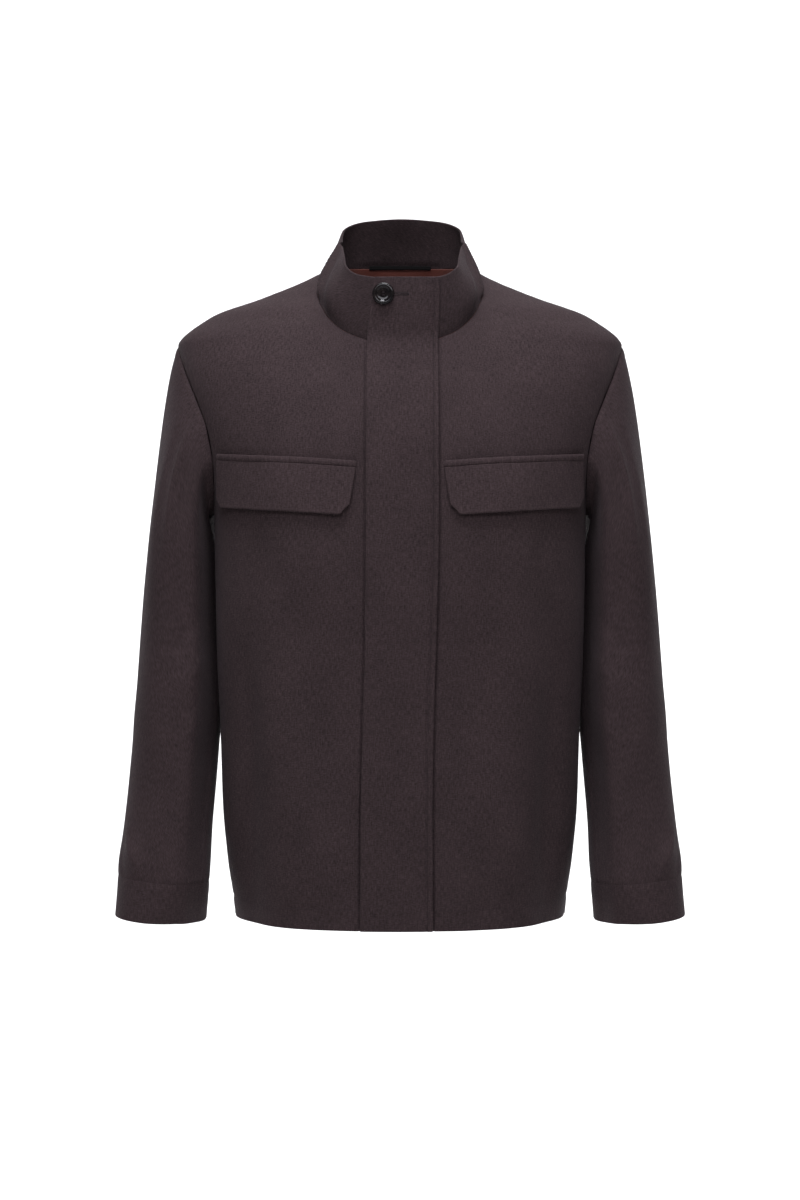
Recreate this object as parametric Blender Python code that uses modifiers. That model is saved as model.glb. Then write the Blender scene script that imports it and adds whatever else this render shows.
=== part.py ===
"""Sport coat with a stand collar: cloth panels cut and seamed on a general hollow form.

Metres, +Z up, the front faces -Y, the wearer's left is +X. Heights in the tables are above the hem.
"""

from collections import namedtuple
from math import cos, pi, radians, sin

import bmesh
import bpy
import numpy as np
from mathutils import Matrix

# Main sizes
NECK_HEIGHT = 0.692
UNDERARM_HEIGHT = 0.430
SHOULDER_TIP_HEIGHT = 0.613
CLOTH = 0.0020
COLLAR_CLOTH = 0.0024
CUFF_CLOTH = 0.0022
PLACKET_CLOTH = 0.0018
FLAP_CLOTH = 0.0018
LINING_CLOTH = 0.0010
LOOP_CLOTH = 0.0012
SEAM_GAP = 0.0003

# How finely each panel is divided
SIDE_ROWS = 10
ARMHOLE_ROWS = 10
FRONT_NECK_COLUMNS = 6
BACK_NECK_HALF = 5
SHOULDER_COLUMNS = 6
COLLAR_ROWS = 4
CAP_ROWS = 5
SLEEVE_ROWS = 9
CUFF_ROWS = 2
FRONT_SLEEVE_SEAM = 2
BACK_SLEEVE_SEAM = 4

# The form that the body panels lie on, one level section per row
Section = namedtuple("Section", "height half_width front_depth back_depth front_power back_power")
BODY = (
    Section(-0.010, 0.1775, 0.131, 0.127, 2.20, 2.30),
    Section(0.000, 0.1780, 0.131, 0.127, 2.20, 2.30),
    Section(0.060, 0.1858, 0.132, 0.124, 2.25, 2.30),
    Section(0.123, 0.1911, 0.133, 0.121, 2.30, 2.35),
    Section(0.188, 0.1930, 0.134, 0.119, 2.35, 2.40),
    Section(0.296, 0.1972, 0.138, 0.121, 2.45, 2.45),
    Section(0.385, 0.1988, 0.141, 0.127, 2.50, 2.50),
    Section(0.430, 0.1995, 0.141, 0.130, 2.50, 2.50),
    Section(0.491, 0.2105, 0.137, 0.131, 2.50, 2.45),
    Section(0.550, 0.2270, 0.122, 0.129, 2.40, 2.35),
    Section(0.590, 0.2370, 0.103, 0.123, 2.30, 2.25),
    Section(0.613, 0.2395, 0.089, 0.118, 2.20, 2.20),
    Section(0.620, 0.2355, 0.084, 0.116, 2.20, 2.20),
    Section(0.628, 0.2268, 0.079, 0.114, 2.15, 2.15),
    Section(0.637, 0.2140, 0.072, 0.111, 2.10, 2.10),
    Section(0.646, 0.1990, 0.065, 0.108, 2.10, 2.10),
    Section(0.663, 0.1520, 0.050, 0.102, 2.00, 2.05),
    Section(0.680, 0.1096, 0.034, 0.096, 2.00, 2.00),
    Section(0.689, 0.0910, 0.025, 0.092, 2.00, 2.00),
    Section(0.692, 0.0862, 0.022, 0.091, 2.00, 2.00),
    Section(0.700, 0.0815, 0.018, 0.088, 2.00, 2.00),
    Section(0.712, 0.0780, 0.015, 0.084, 2.00, 2.00),
)

# Armhole edge, from the underarm to the shoulder tip: how far before and behind the side it swings
Armhole = namedtuple("Armhole", "height swing")
FRONT_ARMHOLE = (
    Armhole(0.430, 0.000),
    Armhole(0.434, 0.020),
    Armhole(0.446, 0.038),
    Armhole(0.464, 0.053),
    Armhole(0.491, 0.063),
    Armhole(0.518, 0.062),
    Armhole(0.552, 0.049),
    Armhole(0.584, 0.031),
    Armhole(0.606, 0.013),
    Armhole(0.613, 0.000),
)
BACK_ARMHOLE = (
    Armhole(0.430, 0.000),
    Armhole(0.434, 0.021),
    Armhole(0.447, 0.041),
    Armhole(0.474, 0.059),
    Armhole(0.510, 0.066),
    Armhole(0.550, 0.056),
    Armhole(0.584, 0.037),
    Armhole(0.606, 0.015),
    Armhole(0.613, 0.000),
)

# Neck seam and the collar's top edge, from the front centre round to the back centre
Neck = namedtuple("Neck", "base_x base_y base_height top_x top_y top_height")
NECK = (
    Neck(0.0000, -0.094, 0.6050, 0.0000, -0.0890, 0.6740),
    Neck(0.0353, -0.090, 0.6093, 0.0324, -0.0865, 0.6743),
    Neck(0.0606, -0.080, 0.6204, 0.0503, -0.0770, 0.6800),
    Neck(0.0756, -0.066, 0.6339, 0.0594, -0.0615, 0.6908),
    Neck(0.0835, -0.050, 0.6480, 0.0613, -0.0430, 0.7018),
    Neck(0.0878, -0.028, 0.6700, 0.0633, -0.0225, 0.7136),
    Neck(0.0862, 0.000, 0.6920, 0.0650, 0.0000, 0.7255),
    Neck(0.0745, 0.035, 0.7020, 0.0655, 0.0270, 0.7410),
    Neck(0.0520, 0.066, 0.7075, 0.0510, 0.0545, 0.7550),
    Neck(0.0270, 0.080, 0.7095, 0.0270, 0.0635, 0.7600),
    Neck(0.0000, 0.085, 0.7100, 0.0000, 0.0660, 0.7620),
)
SHOULDER_POINT = 6
COLLAR_FRONT_TOP = NECK[0].top_height
COLLAR_HOLLOW = 0.002
COLLAR_LEAN = 0.002

# Edges of the placket band: the free edge on the wearer's right, the sewn edge on the left
Band = namedtuple("Band", "height free_edge sewn_edge")
PLACKET = (
    Band(-0.010, -0.0410, 0.0335),
    Band(0.000, -0.0408, 0.0335),
    Band(0.120, -0.0395, 0.0330),
    Band(0.210, -0.0377, 0.0341),
    Band(0.300, -0.0356, 0.0368),
    Band(0.420, -0.0346, 0.0395),
    Band(0.605, -0.0346, 0.0395),
    Band(0.640, -0.0320, 0.0390),
    Band(0.680, -0.0275, 0.0385),
)
# Where the columns of each front lie under the band, as shares of its width
RIGHT_FRONT_SHARES = (0.84, 0.56, 0.28, 0.00)
LEFT_FRONT_SHARES = (0.90, 1.00)
PLACKET_AT_NECK = 0.0395

# Level sections of the sleeve, from the biceps down to the end of the cuff
Ring = namedtuple("Ring", "height centre_x centre_y half_width half_depth rise power")
SLEEVE = (
    Ring(0.385, 0.2337, 0.005, 0.0387, 0.0740, 0.00, 2.20),
    Ring(0.339, 0.2357, 0.005, 0.0411, 0.0710, 0.01, 2.20),
    Ring(0.296, 0.2371, 0.003, 0.0430, 0.0680, 0.02, 2.20),
    Ring(0.253, 0.2382, -0.001, 0.0447, 0.0650, 0.03, 2.20),
    Ring(0.209, 0.2408, -0.006, 0.0458, 0.0620, 0.04, 2.20),
    Ring(0.188, 0.2424, -0.009, 0.0455, 0.0610, 0.05, 2.20),
    Ring(0.145, 0.2458, -0.015, 0.0462, 0.0585, 0.06, 2.20),
    Ring(0.101, 0.2492, -0.021, 0.0468, 0.0560, 0.07, 2.20),
    Ring(0.058, 0.2515, -0.027, 0.0480, 0.0540, 0.08, 2.20),
    Ring(0.043, 0.2522, -0.030, 0.0478, 0.0535, 0.10, 2.20),
    Ring(0.001, 0.2554, -0.036, 0.0474, 0.0520, 0.09, 2.20),
)
SLEEVE_CLEAR = 0.0015
BICEPS_HEIGHT = 0.385
CUFF_END_HEIGHT = 0.001
CUFF_SEAM_HEIGHT = 0.043

# Which way the sleeve leaves the armhole: turn 0 underarm, 0.5 shoulder tip, then behind
Cap = namedtuple("Cap", "turn out forward up reach")
CAP = (
    Cap(0.00, 0.95, 0.00, 0.30, 0.90),
    Cap(0.12, 0.90, 0.25, 0.00, 0.70),
    Cap(0.25, 0.75, 0.30, -0.45, 0.60),
    Cap(0.38, 0.50, 0.20, -0.80, 0.60),
    Cap(0.50, 0.34, 0.00, -0.92, 0.60),
    Cap(0.62, 0.50, -0.20, -0.80, 0.60),
    Cap(0.75, 0.75, -0.30, -0.45, 0.60),
    Cap(0.88, 0.90, -0.25, 0.00, 0.70),
    Cap(1.00, 0.95, 0.00, 0.30, 0.90),
)
CAP_END_REACH = 0.85

# Large soft folds of the body: a line from a top point to a bottom point, on the side named
Fold = namedtuple("Fold", "face x_top top x_bottom bottom half_width height")
FOLDS = (
    Fold("front", -0.135, 0.440, -0.098, 0.060, 0.030, 0.0040),
    Fold("front", 0.132, 0.440, 0.104, 0.050, 0.030, 0.0040),
    Fold("front", -0.068, 0.400, -0.062, 0.120, 0.024, -0.0025),
    Fold("front", 0.072, 0.400, 0.060, 0.120, 0.024, -0.0025),
    Fold("front", -0.118, 0.110, -0.112, -0.030, 0.018, 0.0025),
    Fold("front", 0.066, 0.100, 0.062, -0.030, 0.016, 0.0025),
    Fold("back", -0.085, 0.430, -0.070, 0.050, 0.030, 0.0040),
    Fold("back", 0.088, 0.410, 0.075, 0.060, 0.030, 0.0040),
    Fold("back", 0.000, 0.330, 0.004, 0.020, 0.035, -0.0030),
)
# Large soft folds of each sleeve: where round it (turn), how high, how far they spread
SleeveFold = namedtuple("SleeveFold", "turn height turn_spread height_spread swell")
SLEEVE_FOLDS = (
    SleeveFold(0.36, 0.430, 0.05, 0.110, 0.0035),
    SleeveFold(0.22, 0.330, 0.06, 0.060, -0.0030),
    SleeveFold(0.30, 0.095, 0.07, 0.022, -0.0030),
    SleeveFold(0.42, 0.068, 0.06, 0.015, 0.0025),
    SleeveFold(0.72, 0.250, 0.08, 0.050, 0.0035),
    SleeveFold(0.80, 0.130, 0.08, 0.030, -0.0025),
)

FOLD_FADE = 0.04
CUFF_FOLD_SHARE = 0.4

# Chest pockets, measured round the front from the centre line and up from the hem
POCKET_INNER = 0.0445
POCKET_LENGTH = 0.163
POCKET_TOP_INNER = 0.4800
POCKET_TOP_OUTER = 0.4915
JET_DEPTH = 0.0058
FLAP_DEPTH = 0.0490
FLAP_LEAN = -0.006
FLAP_CORNER = 0.011
FLAP_LIFT_TOP = 0.0007
FLAP_LIFT_BOTTOM = 0.0022
FLAP_COLUMNS = 10
FLAP_ROWS = 5

# Button
BUTTON_X = -0.0170
BUTTON_HEIGHT = 0.6560
BUTTON_RADIUS = 0.0115
BUTTON_THICKNESS = 0.0042
BUTTON_HOLE_RADIUS = 0.0010
BUTTON_HOLE_SPACING = 0.0021
BUTTON_CLEAR = 0.0006

# Hanger loop
LOOP_HALF_LENGTH = 0.036
LOOP_WIDTH = 0.0036
LOOP_DROP = 0.0007
LOOP_SWELL = 0.0020
LOOP_DEPTH = 0.0046
LOOP_COLUMNS = 10

# How far the lining stops short of the armholes, and the rows of the back it covers
LINING_ROWS = 9
LINING_INSET = 2
LINING_CLEAR = 0.0008
LINING_NECK_CLEAR = 0.0012

# Colours, linear
WOOL = (0.034, 0.024, 0.026, 1.0)
LINING_RED = (0.070, 0.018, 0.013, 1.0)
BUTTON_BLACK = (0.008, 0.007, 0.007, 1.0)
LOOP_BLACK = (0.012, 0.010, 0.010, 1.0)


# Curves through tables


def eased(places, values, at):
    """A smooth line through the values that makes no swing of its own between them."""
    places = np.asarray(places, float)
    values = np.asarray(values, float)
    at = np.clip(at, places[0], places[-1])
    step = np.diff(places)
    slope = np.diff(values) / step
    rate = np.zeros(len(places))
    rate[0] = slope[0]
    rate[-1] = slope[-1]
    for i in range(1, len(places) - 1):
        if slope[i - 1] * slope[i] > 0:
            before = 2 * step[i] + step[i - 1]
            after = step[i] + 2 * step[i - 1]
            rate[i] = (before + after) / (before / slope[i - 1] + after / slope[i])
    i = np.clip(np.searchsorted(places, at, side="right") - 1, 0, len(step) - 1)
    t = (at - places[i]) / step[i]
    near = (1 + 2 * t) * (1 - t) ** 2 * values[i] + t * (1 - t) ** 2 * step[i] * rate[i]
    far = t * t * (3 - 2 * t) * values[i + 1] + t * t * (t - 1) * step[i] * rate[i + 1]
    return near + far


def column(table, name):
    """One named column of a table."""
    return np.array([getattr(row, name) for row in table])


def unit(vectors):
    """Vectors brought to length one."""
    return vectors / np.linalg.norm(vectors, axis=-1, keepdims=True)


def lengths_along(points):
    """Distance along a line of points, from its first."""
    steps = np.linalg.norm(np.diff(points, axis=0), axis=1)
    return np.concatenate(([0.0], np.cumsum(steps)))


def spaced(points, count):
    """The line of points cut into an even count of steps."""
    along = lengths_along(points)
    wanted = np.linspace(0.0, along[-1], count + 1)
    return np.stack([np.interp(wanted, along, points[:, k]) for k in range(3)], axis=1)


# The form


def body_column(name, height):
    """One column of the body table at any height."""
    return eased(column(BODY, "height"), column(BODY, name), height)


def shape_at(points):
    """Half width, depth and squareness of the form where each point is."""
    height = points[..., 2]
    before = points[..., 1] < 0
    width = body_column("half_width", height)
    depth = np.where(before, body_column("front_depth", height), body_column("back_depth", height))
    power = np.where(before, body_column("front_power", height), body_column("back_power", height))
    return width, depth, power


def form_value(points):
    """Below zero inside the form, above zero outside."""
    width, depth, power = shape_at(points)
    return (np.abs(points[..., 0]) / width) ** power + (np.abs(points[..., 1]) / depth) ** power - 1.0


def form_slope(points):
    """Gradient of the form's value."""
    reach = 1e-5
    parts = []
    for k in range(3):
        move = np.zeros(3)
        move[k] = reach
        parts.append((form_value(points + move) - form_value(points - move)) / (2 * reach))
    return np.stack(parts, axis=-1)


def on_form(points):
    """Points moved on to the form along its slope."""
    points = np.array(points, float)
    for _ in range(12):
        slope = form_slope(points)
        away = form_value(points) / np.maximum((slope**2).sum(-1), 1e-12)
        points = points - 0.9 * away[..., None] * slope
    return points


def form_normal(points):
    """Outward direction of the form."""
    return unit(form_slope(points))


def front_line(x, height):
    """Point of the form's front at a distance from the centre line."""
    x = np.asarray(x, float)
    height = np.asarray(height, float) + 0 * x
    width = body_column("half_width", height)
    power = body_column("front_power", height)
    rest = np.maximum(1.0 - (np.abs(x) / width) ** power, 0.0)
    y = -body_column("front_depth", height) * rest ** (1.0 / power)
    return np.stack([x, y, height], axis=-1)


def side_point(swing, height):
    """Point of the form's left side, a swing before (minus) or behind the side line."""
    swing = np.asarray(swing, float)
    points = np.stack([0 * swing, swing, np.asarray(height, float)], axis=-1)
    width, depth, power = shape_at(points)
    points[..., 0] = width * (1.0 - (np.abs(swing) / depth) ** power) ** (1.0 / power)
    return points


# Folds


def fold_height(points, face):
    """How far the large folds lift the cloth at each point of the front or the back."""
    lift = np.zeros(points.shape[:-1])
    for fold in FOLDS:
        if fold.face != face:
            continue
        share = np.clip((fold.top - points[..., 2]) / (fold.top - fold.bottom), 0.0, 1.0)
        x = fold.x_top + share * (fold.x_bottom - fold.x_top)
        across = np.exp(-(((points[..., 0] - x) / fold.half_width) ** 2))
        lift += fold.height * across * np.sin(pi * share) ** 2
    return lift


def sleeve_swell(turn, height):
    """How far the large folds lift the sleeve at a turn and a height."""
    lift = 0.0 * height
    for fold in SLEEVE_FOLDS:
        across = ((turn - fold.turn) / fold.turn_spread) ** 2
        down = ((height - fold.height) / fold.height_spread) ** 2
        lift = lift + fold.swell * np.exp(-across - down)
    return lift


# Cut edges of the body


def armhole(table, sign):
    """Armhole edge of the left side, from the underarm to the shoulder tip."""
    swing = column(table, "swing")
    height = column(table, "height")
    along = lengths_along(np.stack([swing, height, 0 * swing], axis=1))
    at = np.linspace(0.0, along[-1], 200)
    edge = side_point(sign * eased(along, swing, at), eased(along, height, at))
    return spaced(edge, ARMHOLE_ROWS)


def neck_lines():
    """Neck seam and collar top on the left side, front centre to back centre, finely."""
    base = np.stack([column(NECK, f"base_{k}") for k in ("x", "y", "height")], axis=1)
    top = np.stack([column(NECK, f"top_{k}") for k in ("x", "y", "height")], axis=1)
    places = np.arange(len(NECK), dtype=float)
    at = np.linspace(0.0, places[-1], 241)
    base_line = np.stack([eased(places, base[:, k], at) for k in range(3)], axis=1)
    top_line = np.stack([eased(places, top[:, k], at) for k in range(3)], axis=1)
    return at, on_form(base_line), top_line


def neck_samples():
    """Places along the neck table where the panels' columns meet the neck, front then back."""
    at, base, _ = neck_lines()
    along = lengths_along(base)
    shoulder = np.interp(SHOULDER_POINT, at, along)
    front_half = at < SHOULDER_POINT / 2
    start = np.interp(PLACKET_AT_NECK, base[front_half, 0], along[front_half])
    front = np.interp(np.linspace(start, shoulder, FRONT_NECK_COLUMNS + 1), along, at)
    back = np.interp(np.linspace(shoulder, along[-1], BACK_NECK_HALF + 1), along, at)
    return front, back


def at_neck(places, which):
    """Neck seam (0) or collar top (1) points at places along the neck table, left side."""
    at, base, top = neck_lines()
    line = (base, top)[which]
    return np.stack([np.interp(places, at, line[:, k]) for k in range(3)], axis=-1)


def neck_at_x(x, which):
    """Neck seam or collar top point at a distance from the front centre."""
    at, base, top = neck_lines()
    line = (base, top)[which]
    first = int(np.argmax(line[:, 0]))
    point = np.array([np.interp(abs(x), line[:first, 0], line[:first, k]) for k in range(3)])
    point[0] = x
    return point


def back_neck(x):
    """Neck seam points behind the shoulders, at distances from the back centre."""
    at, base, _ = neck_lines()
    rear = base[at >= SHOULDER_POINT][::-1]
    points = np.stack([np.interp(np.abs(x), rear[:, 0], rear[:, k]) for k in range(3)], axis=1)
    points[:, 0] = x
    return points


def band_edge(share, height):
    """Distance from the centre line of a share of the placket's width."""
    places = column(PLACKET, "height")
    free = eased(places, column(PLACKET, "free_edge"), height)
    sewn = eased(places, column(PLACKET, "sewn_edge"), height)
    return free + share * (sewn - free)


def band_column(share, rows):
    """A column of a front under the placket, hem to neck seam."""
    height = NECK[0].base_height
    for _ in range(6):
        height = neck_at_x(band_edge(share, height), 0)[2]
    heights = np.linspace(0.0, height, rows + 1)
    return front_line(band_edge(share, heights), heights)


# Grids of the panels


def filled(low, high, first, last):
    """Grid between four edges, eased until it is even, on the form. Rows run from low to high."""
    rows = len(first)
    columns = len(low)
    s = np.linspace(0, 1, columns)[None, :, None]
    t = np.linspace(0, 1, rows)[:, None, None]
    across = (1 - s) * first[:, None] + s * last[:, None]
    along = (1 - t) * low[None] + t * high[None]
    corners = (1 - s) * (1 - t) * low[0] + s * (1 - t) * low[-1] + (1 - s) * t * high[0] + s * t * high[-1]
    grid = across + along - corners
    inner = (slice(1, -1), slice(1, -1))
    grid[inner] = on_form(grid[inner])
    for _ in range(60):
        mean = grid[:-2, 1:-1] + grid[2:, 1:-1] + grid[1:-1, :-2] + grid[1:-1, 2:]
        grid[inner] = on_form(0.5 * grid[inner] + 0.125 * mean)
    return grid


def mirrored(points):
    """The same points on the other side."""
    return points * np.array([-1.0, 1.0, 1.0])


def hem_line(x_from, sign, count):
    """Hem from a distance from the centre to the side line, before (-1) or behind (+1)."""
    turns = np.linspace(0.0, pi / 2, 200)
    shape = shape_at(np.array([0.0, sign * 0.1, 0.0]))
    width, depth, power = shape
    x = width * np.sin(turns) ** (2.0 / power)
    y = sign * depth * np.cos(turns) ** (2.0 / power)
    line = np.stack([x, y, 0 * x], axis=1)
    line[-1] = (width, 0.0, 0.0)
    start = np.interp(x_from, line[:, 0], lengths_along(line))
    along = lengths_along(line)
    wanted = np.linspace(start, along[-1], count + 1)
    return np.stack([np.interp(wanted, along, line[:, k]) for k in range(3)], axis=1)


def side_edge(table, sign):
    """Side seam and armhole of the left side, hem to shoulder tip."""
    heights = np.linspace(0.0, UNDERARM_HEIGHT, SIDE_ROWS + 1)
    seam = side_point(0 * heights, heights)
    return np.concatenate([seam[:-1], armhole(table, sign)])


def shoulder_edge():
    """Shoulder seam of the left side, from the neck to the tip."""
    heights = np.linspace(NECK_HEIGHT, SHOULDER_TIP_HEIGHT, 60)
    line = side_point(0 * heights, heights)
    return spaced(line, SHOULDER_COLUMNS)


def front_grid(shares, side):
    """Grid of one front, with the columns under the placket first."""
    rows = SIDE_ROWS + ARMHOLE_ROWS
    columns = [band_column(share, rows) for share in shares]
    if side < 0:
        columns = [mirrored(points) for points in columns]
    last_column = columns[-1]
    front, _ = neck_samples()
    neck = at_neck(front, 0)
    neck[0] = last_column[-1]
    neck[-1] = side_point(np.array(0.0), np.array(NECK_HEIGHT))
    top = np.concatenate([neck[:-1], shoulder_edge()])
    hem = hem_line(last_column[0, 0], -1, FRONT_NECK_COLUMNS + SHOULDER_COLUMNS)
    hem[0] = last_column[0]
    main = filled(hem, top, last_column, side_edge(FRONT_ARMHOLE, -1))
    strip = np.stack(columns[:-1], axis=1)
    grid = np.concatenate([strip, main], axis=1)
    if side < 0:
        grid = mirrored(grid)
    return grid


def back_grid():
    """Grid of the back, from the left side to the right side."""
    _, back = neck_samples()
    neck = at_neck(back, 0)
    neck[0] = side_point(np.array(0.0), np.array(NECK_HEIGHT))
    half_top = np.concatenate([shoulder_edge()[::-1][:-1], neck])
    half_hem = hem_line(0.0, 1, SHOULDER_COLUMNS + BACK_NECK_HALF)[::-1]
    centre = np.stack([0 * half_top[:1, 0], neck[-1:, 1], neck[-1:, 2]], axis=1)
    half_top[-1] = centre[0]
    top = np.concatenate([half_top, mirrored(half_top[::-1])[1:]])
    hem = np.concatenate([half_hem, mirrored(half_hem[::-1])[1:]])
    side = side_edge(BACK_ARMHOLE, 1)
    return filled(hem, top, side, mirrored(side))


def ring_point(turns, height):
    """Points of the left sleeve at a height; turn 0 is the inside, 0.25 the front, 0.5 the outside."""
    places = column(SLEEVE, "height")[::-1]

    def size(name):
        return eased(places, column(SLEEVE, name)[::-1], height)

    angle = 2 * pi * turns
    power = 2.0 / size("power")
    out = -np.sign(np.cos(angle)) * np.abs(np.cos(angle)) ** power
    ahead = -np.sign(np.sin(angle)) * np.abs(np.sin(angle)) ** power
    x = size("centre_x") + size("half_width") * out
    y = size("centre_y") + size("half_depth") * ahead
    z = height + size("rise") * size("half_width") * out
    x = np.maximum(x, side_point(y, z)[..., 0] + SLEEVE_CLEAR)
    return np.stack([x, y, z], axis=-1)


def sleeve_turns():
    """Turns of the sleeve's columns, evenly spread round the biceps."""
    fine = np.linspace(0.0, 1.0, 401)
    line = ring_point(fine, BICEPS_HEIGHT + 0 * fine)
    along = lengths_along(line)
    half = np.interp(0.5, fine, along)
    front = np.interp(np.linspace(0.0, half, ARMHOLE_ROWS + 1), along, fine)
    back = np.interp(np.linspace(half, along[-1], ARMHOLE_ROWS + 1), along, fine)
    return np.concatenate([front, back[1:]])


def sleeve_grid():
    """Left sleeve from the armhole to the end of the cuff; the first and last columns are one line."""
    turns = sleeve_turns()
    start = np.concatenate([armhole(FRONT_ARMHOLE, -1), armhole(BACK_ARMHOLE, 1)[::-1][1:]])
    biceps = ring_point(turns, BICEPS_HEIGHT + 0 * turns)
    below = ring_point(turns, BICEPS_HEIGHT - 0.04 + 0 * turns)
    out, forward, up, reach = (
        eased(column(CAP, "turn"), column(CAP, name), np.linspace(0.0, 1.0, len(turns)))
        for name in ("out", "forward", "up", "reach")
    )
    span = np.linalg.norm(biceps - start, axis=1)[:, None]
    leave = unit(np.stack([out, -forward, up], axis=1)) * span * reach[:, None]
    arrive = unit(below - biceps) * span * CAP_END_REACH
    rows = []
    for t in np.linspace(0.0, 1.0, CAP_ROWS + 1):
        a = (1 + 2 * t) * (1 - t) ** 2
        b = t * (1 - t) ** 2
        c = t * t * (3 - 2 * t)
        d = t * t * (t - 1)
        rows.append(a * start + b * leave + c * biceps + d * arrive)
    for height in np.linspace(BICEPS_HEIGHT, CUFF_SEAM_HEIGHT, SLEEVE_ROWS + 1)[1:]:
        rows.append(ring_point(turns, height + 0 * turns))
    for height in np.linspace(CUFF_SEAM_HEIGHT, CUFF_END_HEIGHT, CUFF_ROWS + 1)[1:]:
        rows.append(ring_point(turns, height + 0 * turns))
    return np.stack(rows), turns


def grid_normal(grid, closed=False):
    """Outward direction at each point of a grid, from its neighbours."""
    if closed:
        padded = np.concatenate([grid[:, -2:-1], grid, grid[:, 1:2]], axis=1)
        across = padded[:, 2:] - padded[:, :-2]
    else:
        across = np.gradient(grid, axis=1)
    along = np.gradient(grid, axis=0)
    return unit(np.cross(across, along))


# Solids


def pulled(grid, sides, amount=SEAM_GAP / 2):
    """The grid with named edges drawn in by half a seam gap."""
    grid = grid.copy()
    if "low" in sides:
        grid[0] += amount * unit(grid[1] - grid[0])
    if "high" in sides:
        grid[-1] += amount * unit(grid[-2] - grid[-1])
    if "first" in sides:
        grid[:, 0] += amount * unit(grid[:, 1] - grid[:, 0])
    if "last" in sides:
        grid[:, -1] += amount * unit(grid[:, -2] - grid[:, -1])
    return grid


def material(name, colour, roughness):
    """A plain surface for the solids."""
    made = bpy.data.materials.new(name)
    made.use_nodes = True
    shader = made.node_tree.nodes["Principled BSDF"]
    shader.inputs["Base Color"].default_value = colour
    shader.inputs["Roughness"].default_value = roughness
    shader.inputs["Metallic"].default_value = 0.0
    return made


def placed(name, mesh, surface):
    """A named solid in the coat's collection, hung from the neck point."""
    mesh.materials.append(surface)
    solid = bpy.data.objects.new(name, mesh)
    solid.parent = neck_point
    coat.objects.link(solid)
    return solid


def split(build, near, far):
    """Two triangles between two pairs of points, cut the same way on walls that meet or mirror."""
    first, second = near
    third, fourth = far
    if (abs(first.co.x), first.co.z) > (abs(second.co.x), second.co.z):
        first, second = second, first
        third, fourth = fourth, third
    build.faces.new((first, second, fourth))
    build.faces.new((first, fourth, third))


def wall(name, outer, inner, surface, closed=False):
    """A closed cloth wall between an outer and an inner grid."""
    if closed:
        outer = outer[:, :-1]
        inner = inner[:, :-1]
    rows, columns = outer.shape[:2]
    build = bmesh.new()
    skins = []
    for grid in (outer, inner):
        skins.append([[build.verts.new(point) for point in row] for row in grid])
    turns = columns if closed else columns - 1
    for j in range(turns):
        k = (j + 1) % columns
        for skin in skins:
            for i in range(rows - 1):
                split(build, (skin[i][j], skin[i][k]), (skin[i + 1][j], skin[i + 1][k]))
        for i in (0, rows - 1):
            split(build, (skins[0][i][j], skins[0][i][k]), (skins[1][i][j], skins[1][i][k]))
    if not closed:
        for j in (0, columns - 1):
            for i in range(rows - 1):
                split(build, (skins[0][i][j], skins[0][i + 1][j]), (skins[1][i][j], skins[1][i + 1][j]))
    bmesh.ops.recalc_face_normals(build, faces=build.faces)
    mesh = bpy.data.meshes.new(name)
    build.to_mesh(mesh)
    build.free()
    mesh.shade_smooth()
    return placed(name, mesh, surface)


def mitred(own, other):
    """Direction that halves the angle between two walls at a seam, longer where the angle is sharp."""
    both = own + other
    share = 1.0 + (own * other).sum(-1, keepdims=True)
    longer = both / np.maximum(share, 0.6)
    size = np.linalg.norm(longer, axis=-1, keepdims=True)
    return longer / np.maximum(size, 1e-9) * np.minimum(size, 1.5)


# Scene

for old in list(bpy.data.objects):
    bpy.data.objects.remove(old)
coat = bpy.data.collections.new("sport_coat")
bpy.context.scene.collection.children.link(coat)
cutters = bpy.data.collections.new("cutters")
bpy.context.scene.collection.children.link(cutters)
neck_point = bpy.data.objects.new("neck_point", None)
neck_point.location = (0.0, 0.0, -NECK_HEIGHT)
coat.objects.link(neck_point)

wool = material("wool", WOOL, 0.85)
lining_satin = material("lining_satin", LINING_RED, 0.38)
horn = material("horn", BUTTON_BLACK, 0.15)
loop_tape = material("loop_tape", LOOP_BLACK, 0.6)

# Grids on the form, and their outward directions
right = front_grid(RIGHT_FRONT_SHARES, -1)
left = front_grid(LEFT_FRONT_SHARES, 1)
back = back_grid()
sleeve, turns = sleeve_grid()
right_normal = form_normal(right)
left_normal = form_normal(left)
back_normal = form_normal(back)
sleeve_normal = -grid_normal(sleeve, closed=True)

# Folds
right = right + fold_height(right, "front")[..., None] * right_normal
left = left + fold_height(left, "front")[..., None] * left_normal
back = back + fold_height(back, "back")[..., None] * back_normal
sleeve_fade = np.clip((sleeve[0][None, :, 2] - sleeve[..., 2]) / FOLD_FADE, 0.0, 1.0)
swell = sleeve_swell(turns[None, :], sleeve[..., 2]) * sleeve_fade
swell[-1 - CUFF_ROWS :] *= CUFF_FOLD_SHARE
sleeve = sleeve + swell[..., None] * sleeve_normal
sleeve_normal = -grid_normal(sleeve, closed=True)

# Collar grid: the columns of the left front, the back and the right front in turn
front_places, back_places = neck_samples()
left_strip = len(LEFT_FRONT_SHARES) - 1
right_strip = len(RIGHT_FRONT_SHARES) - 1


def collar_ends(shares):
    """Top points of the collar over the columns that lie under the placket."""
    return np.array([neck_at_x(band_edge(share, COLLAR_FRONT_TOP), 1) for share in shares[:-1]])


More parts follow.
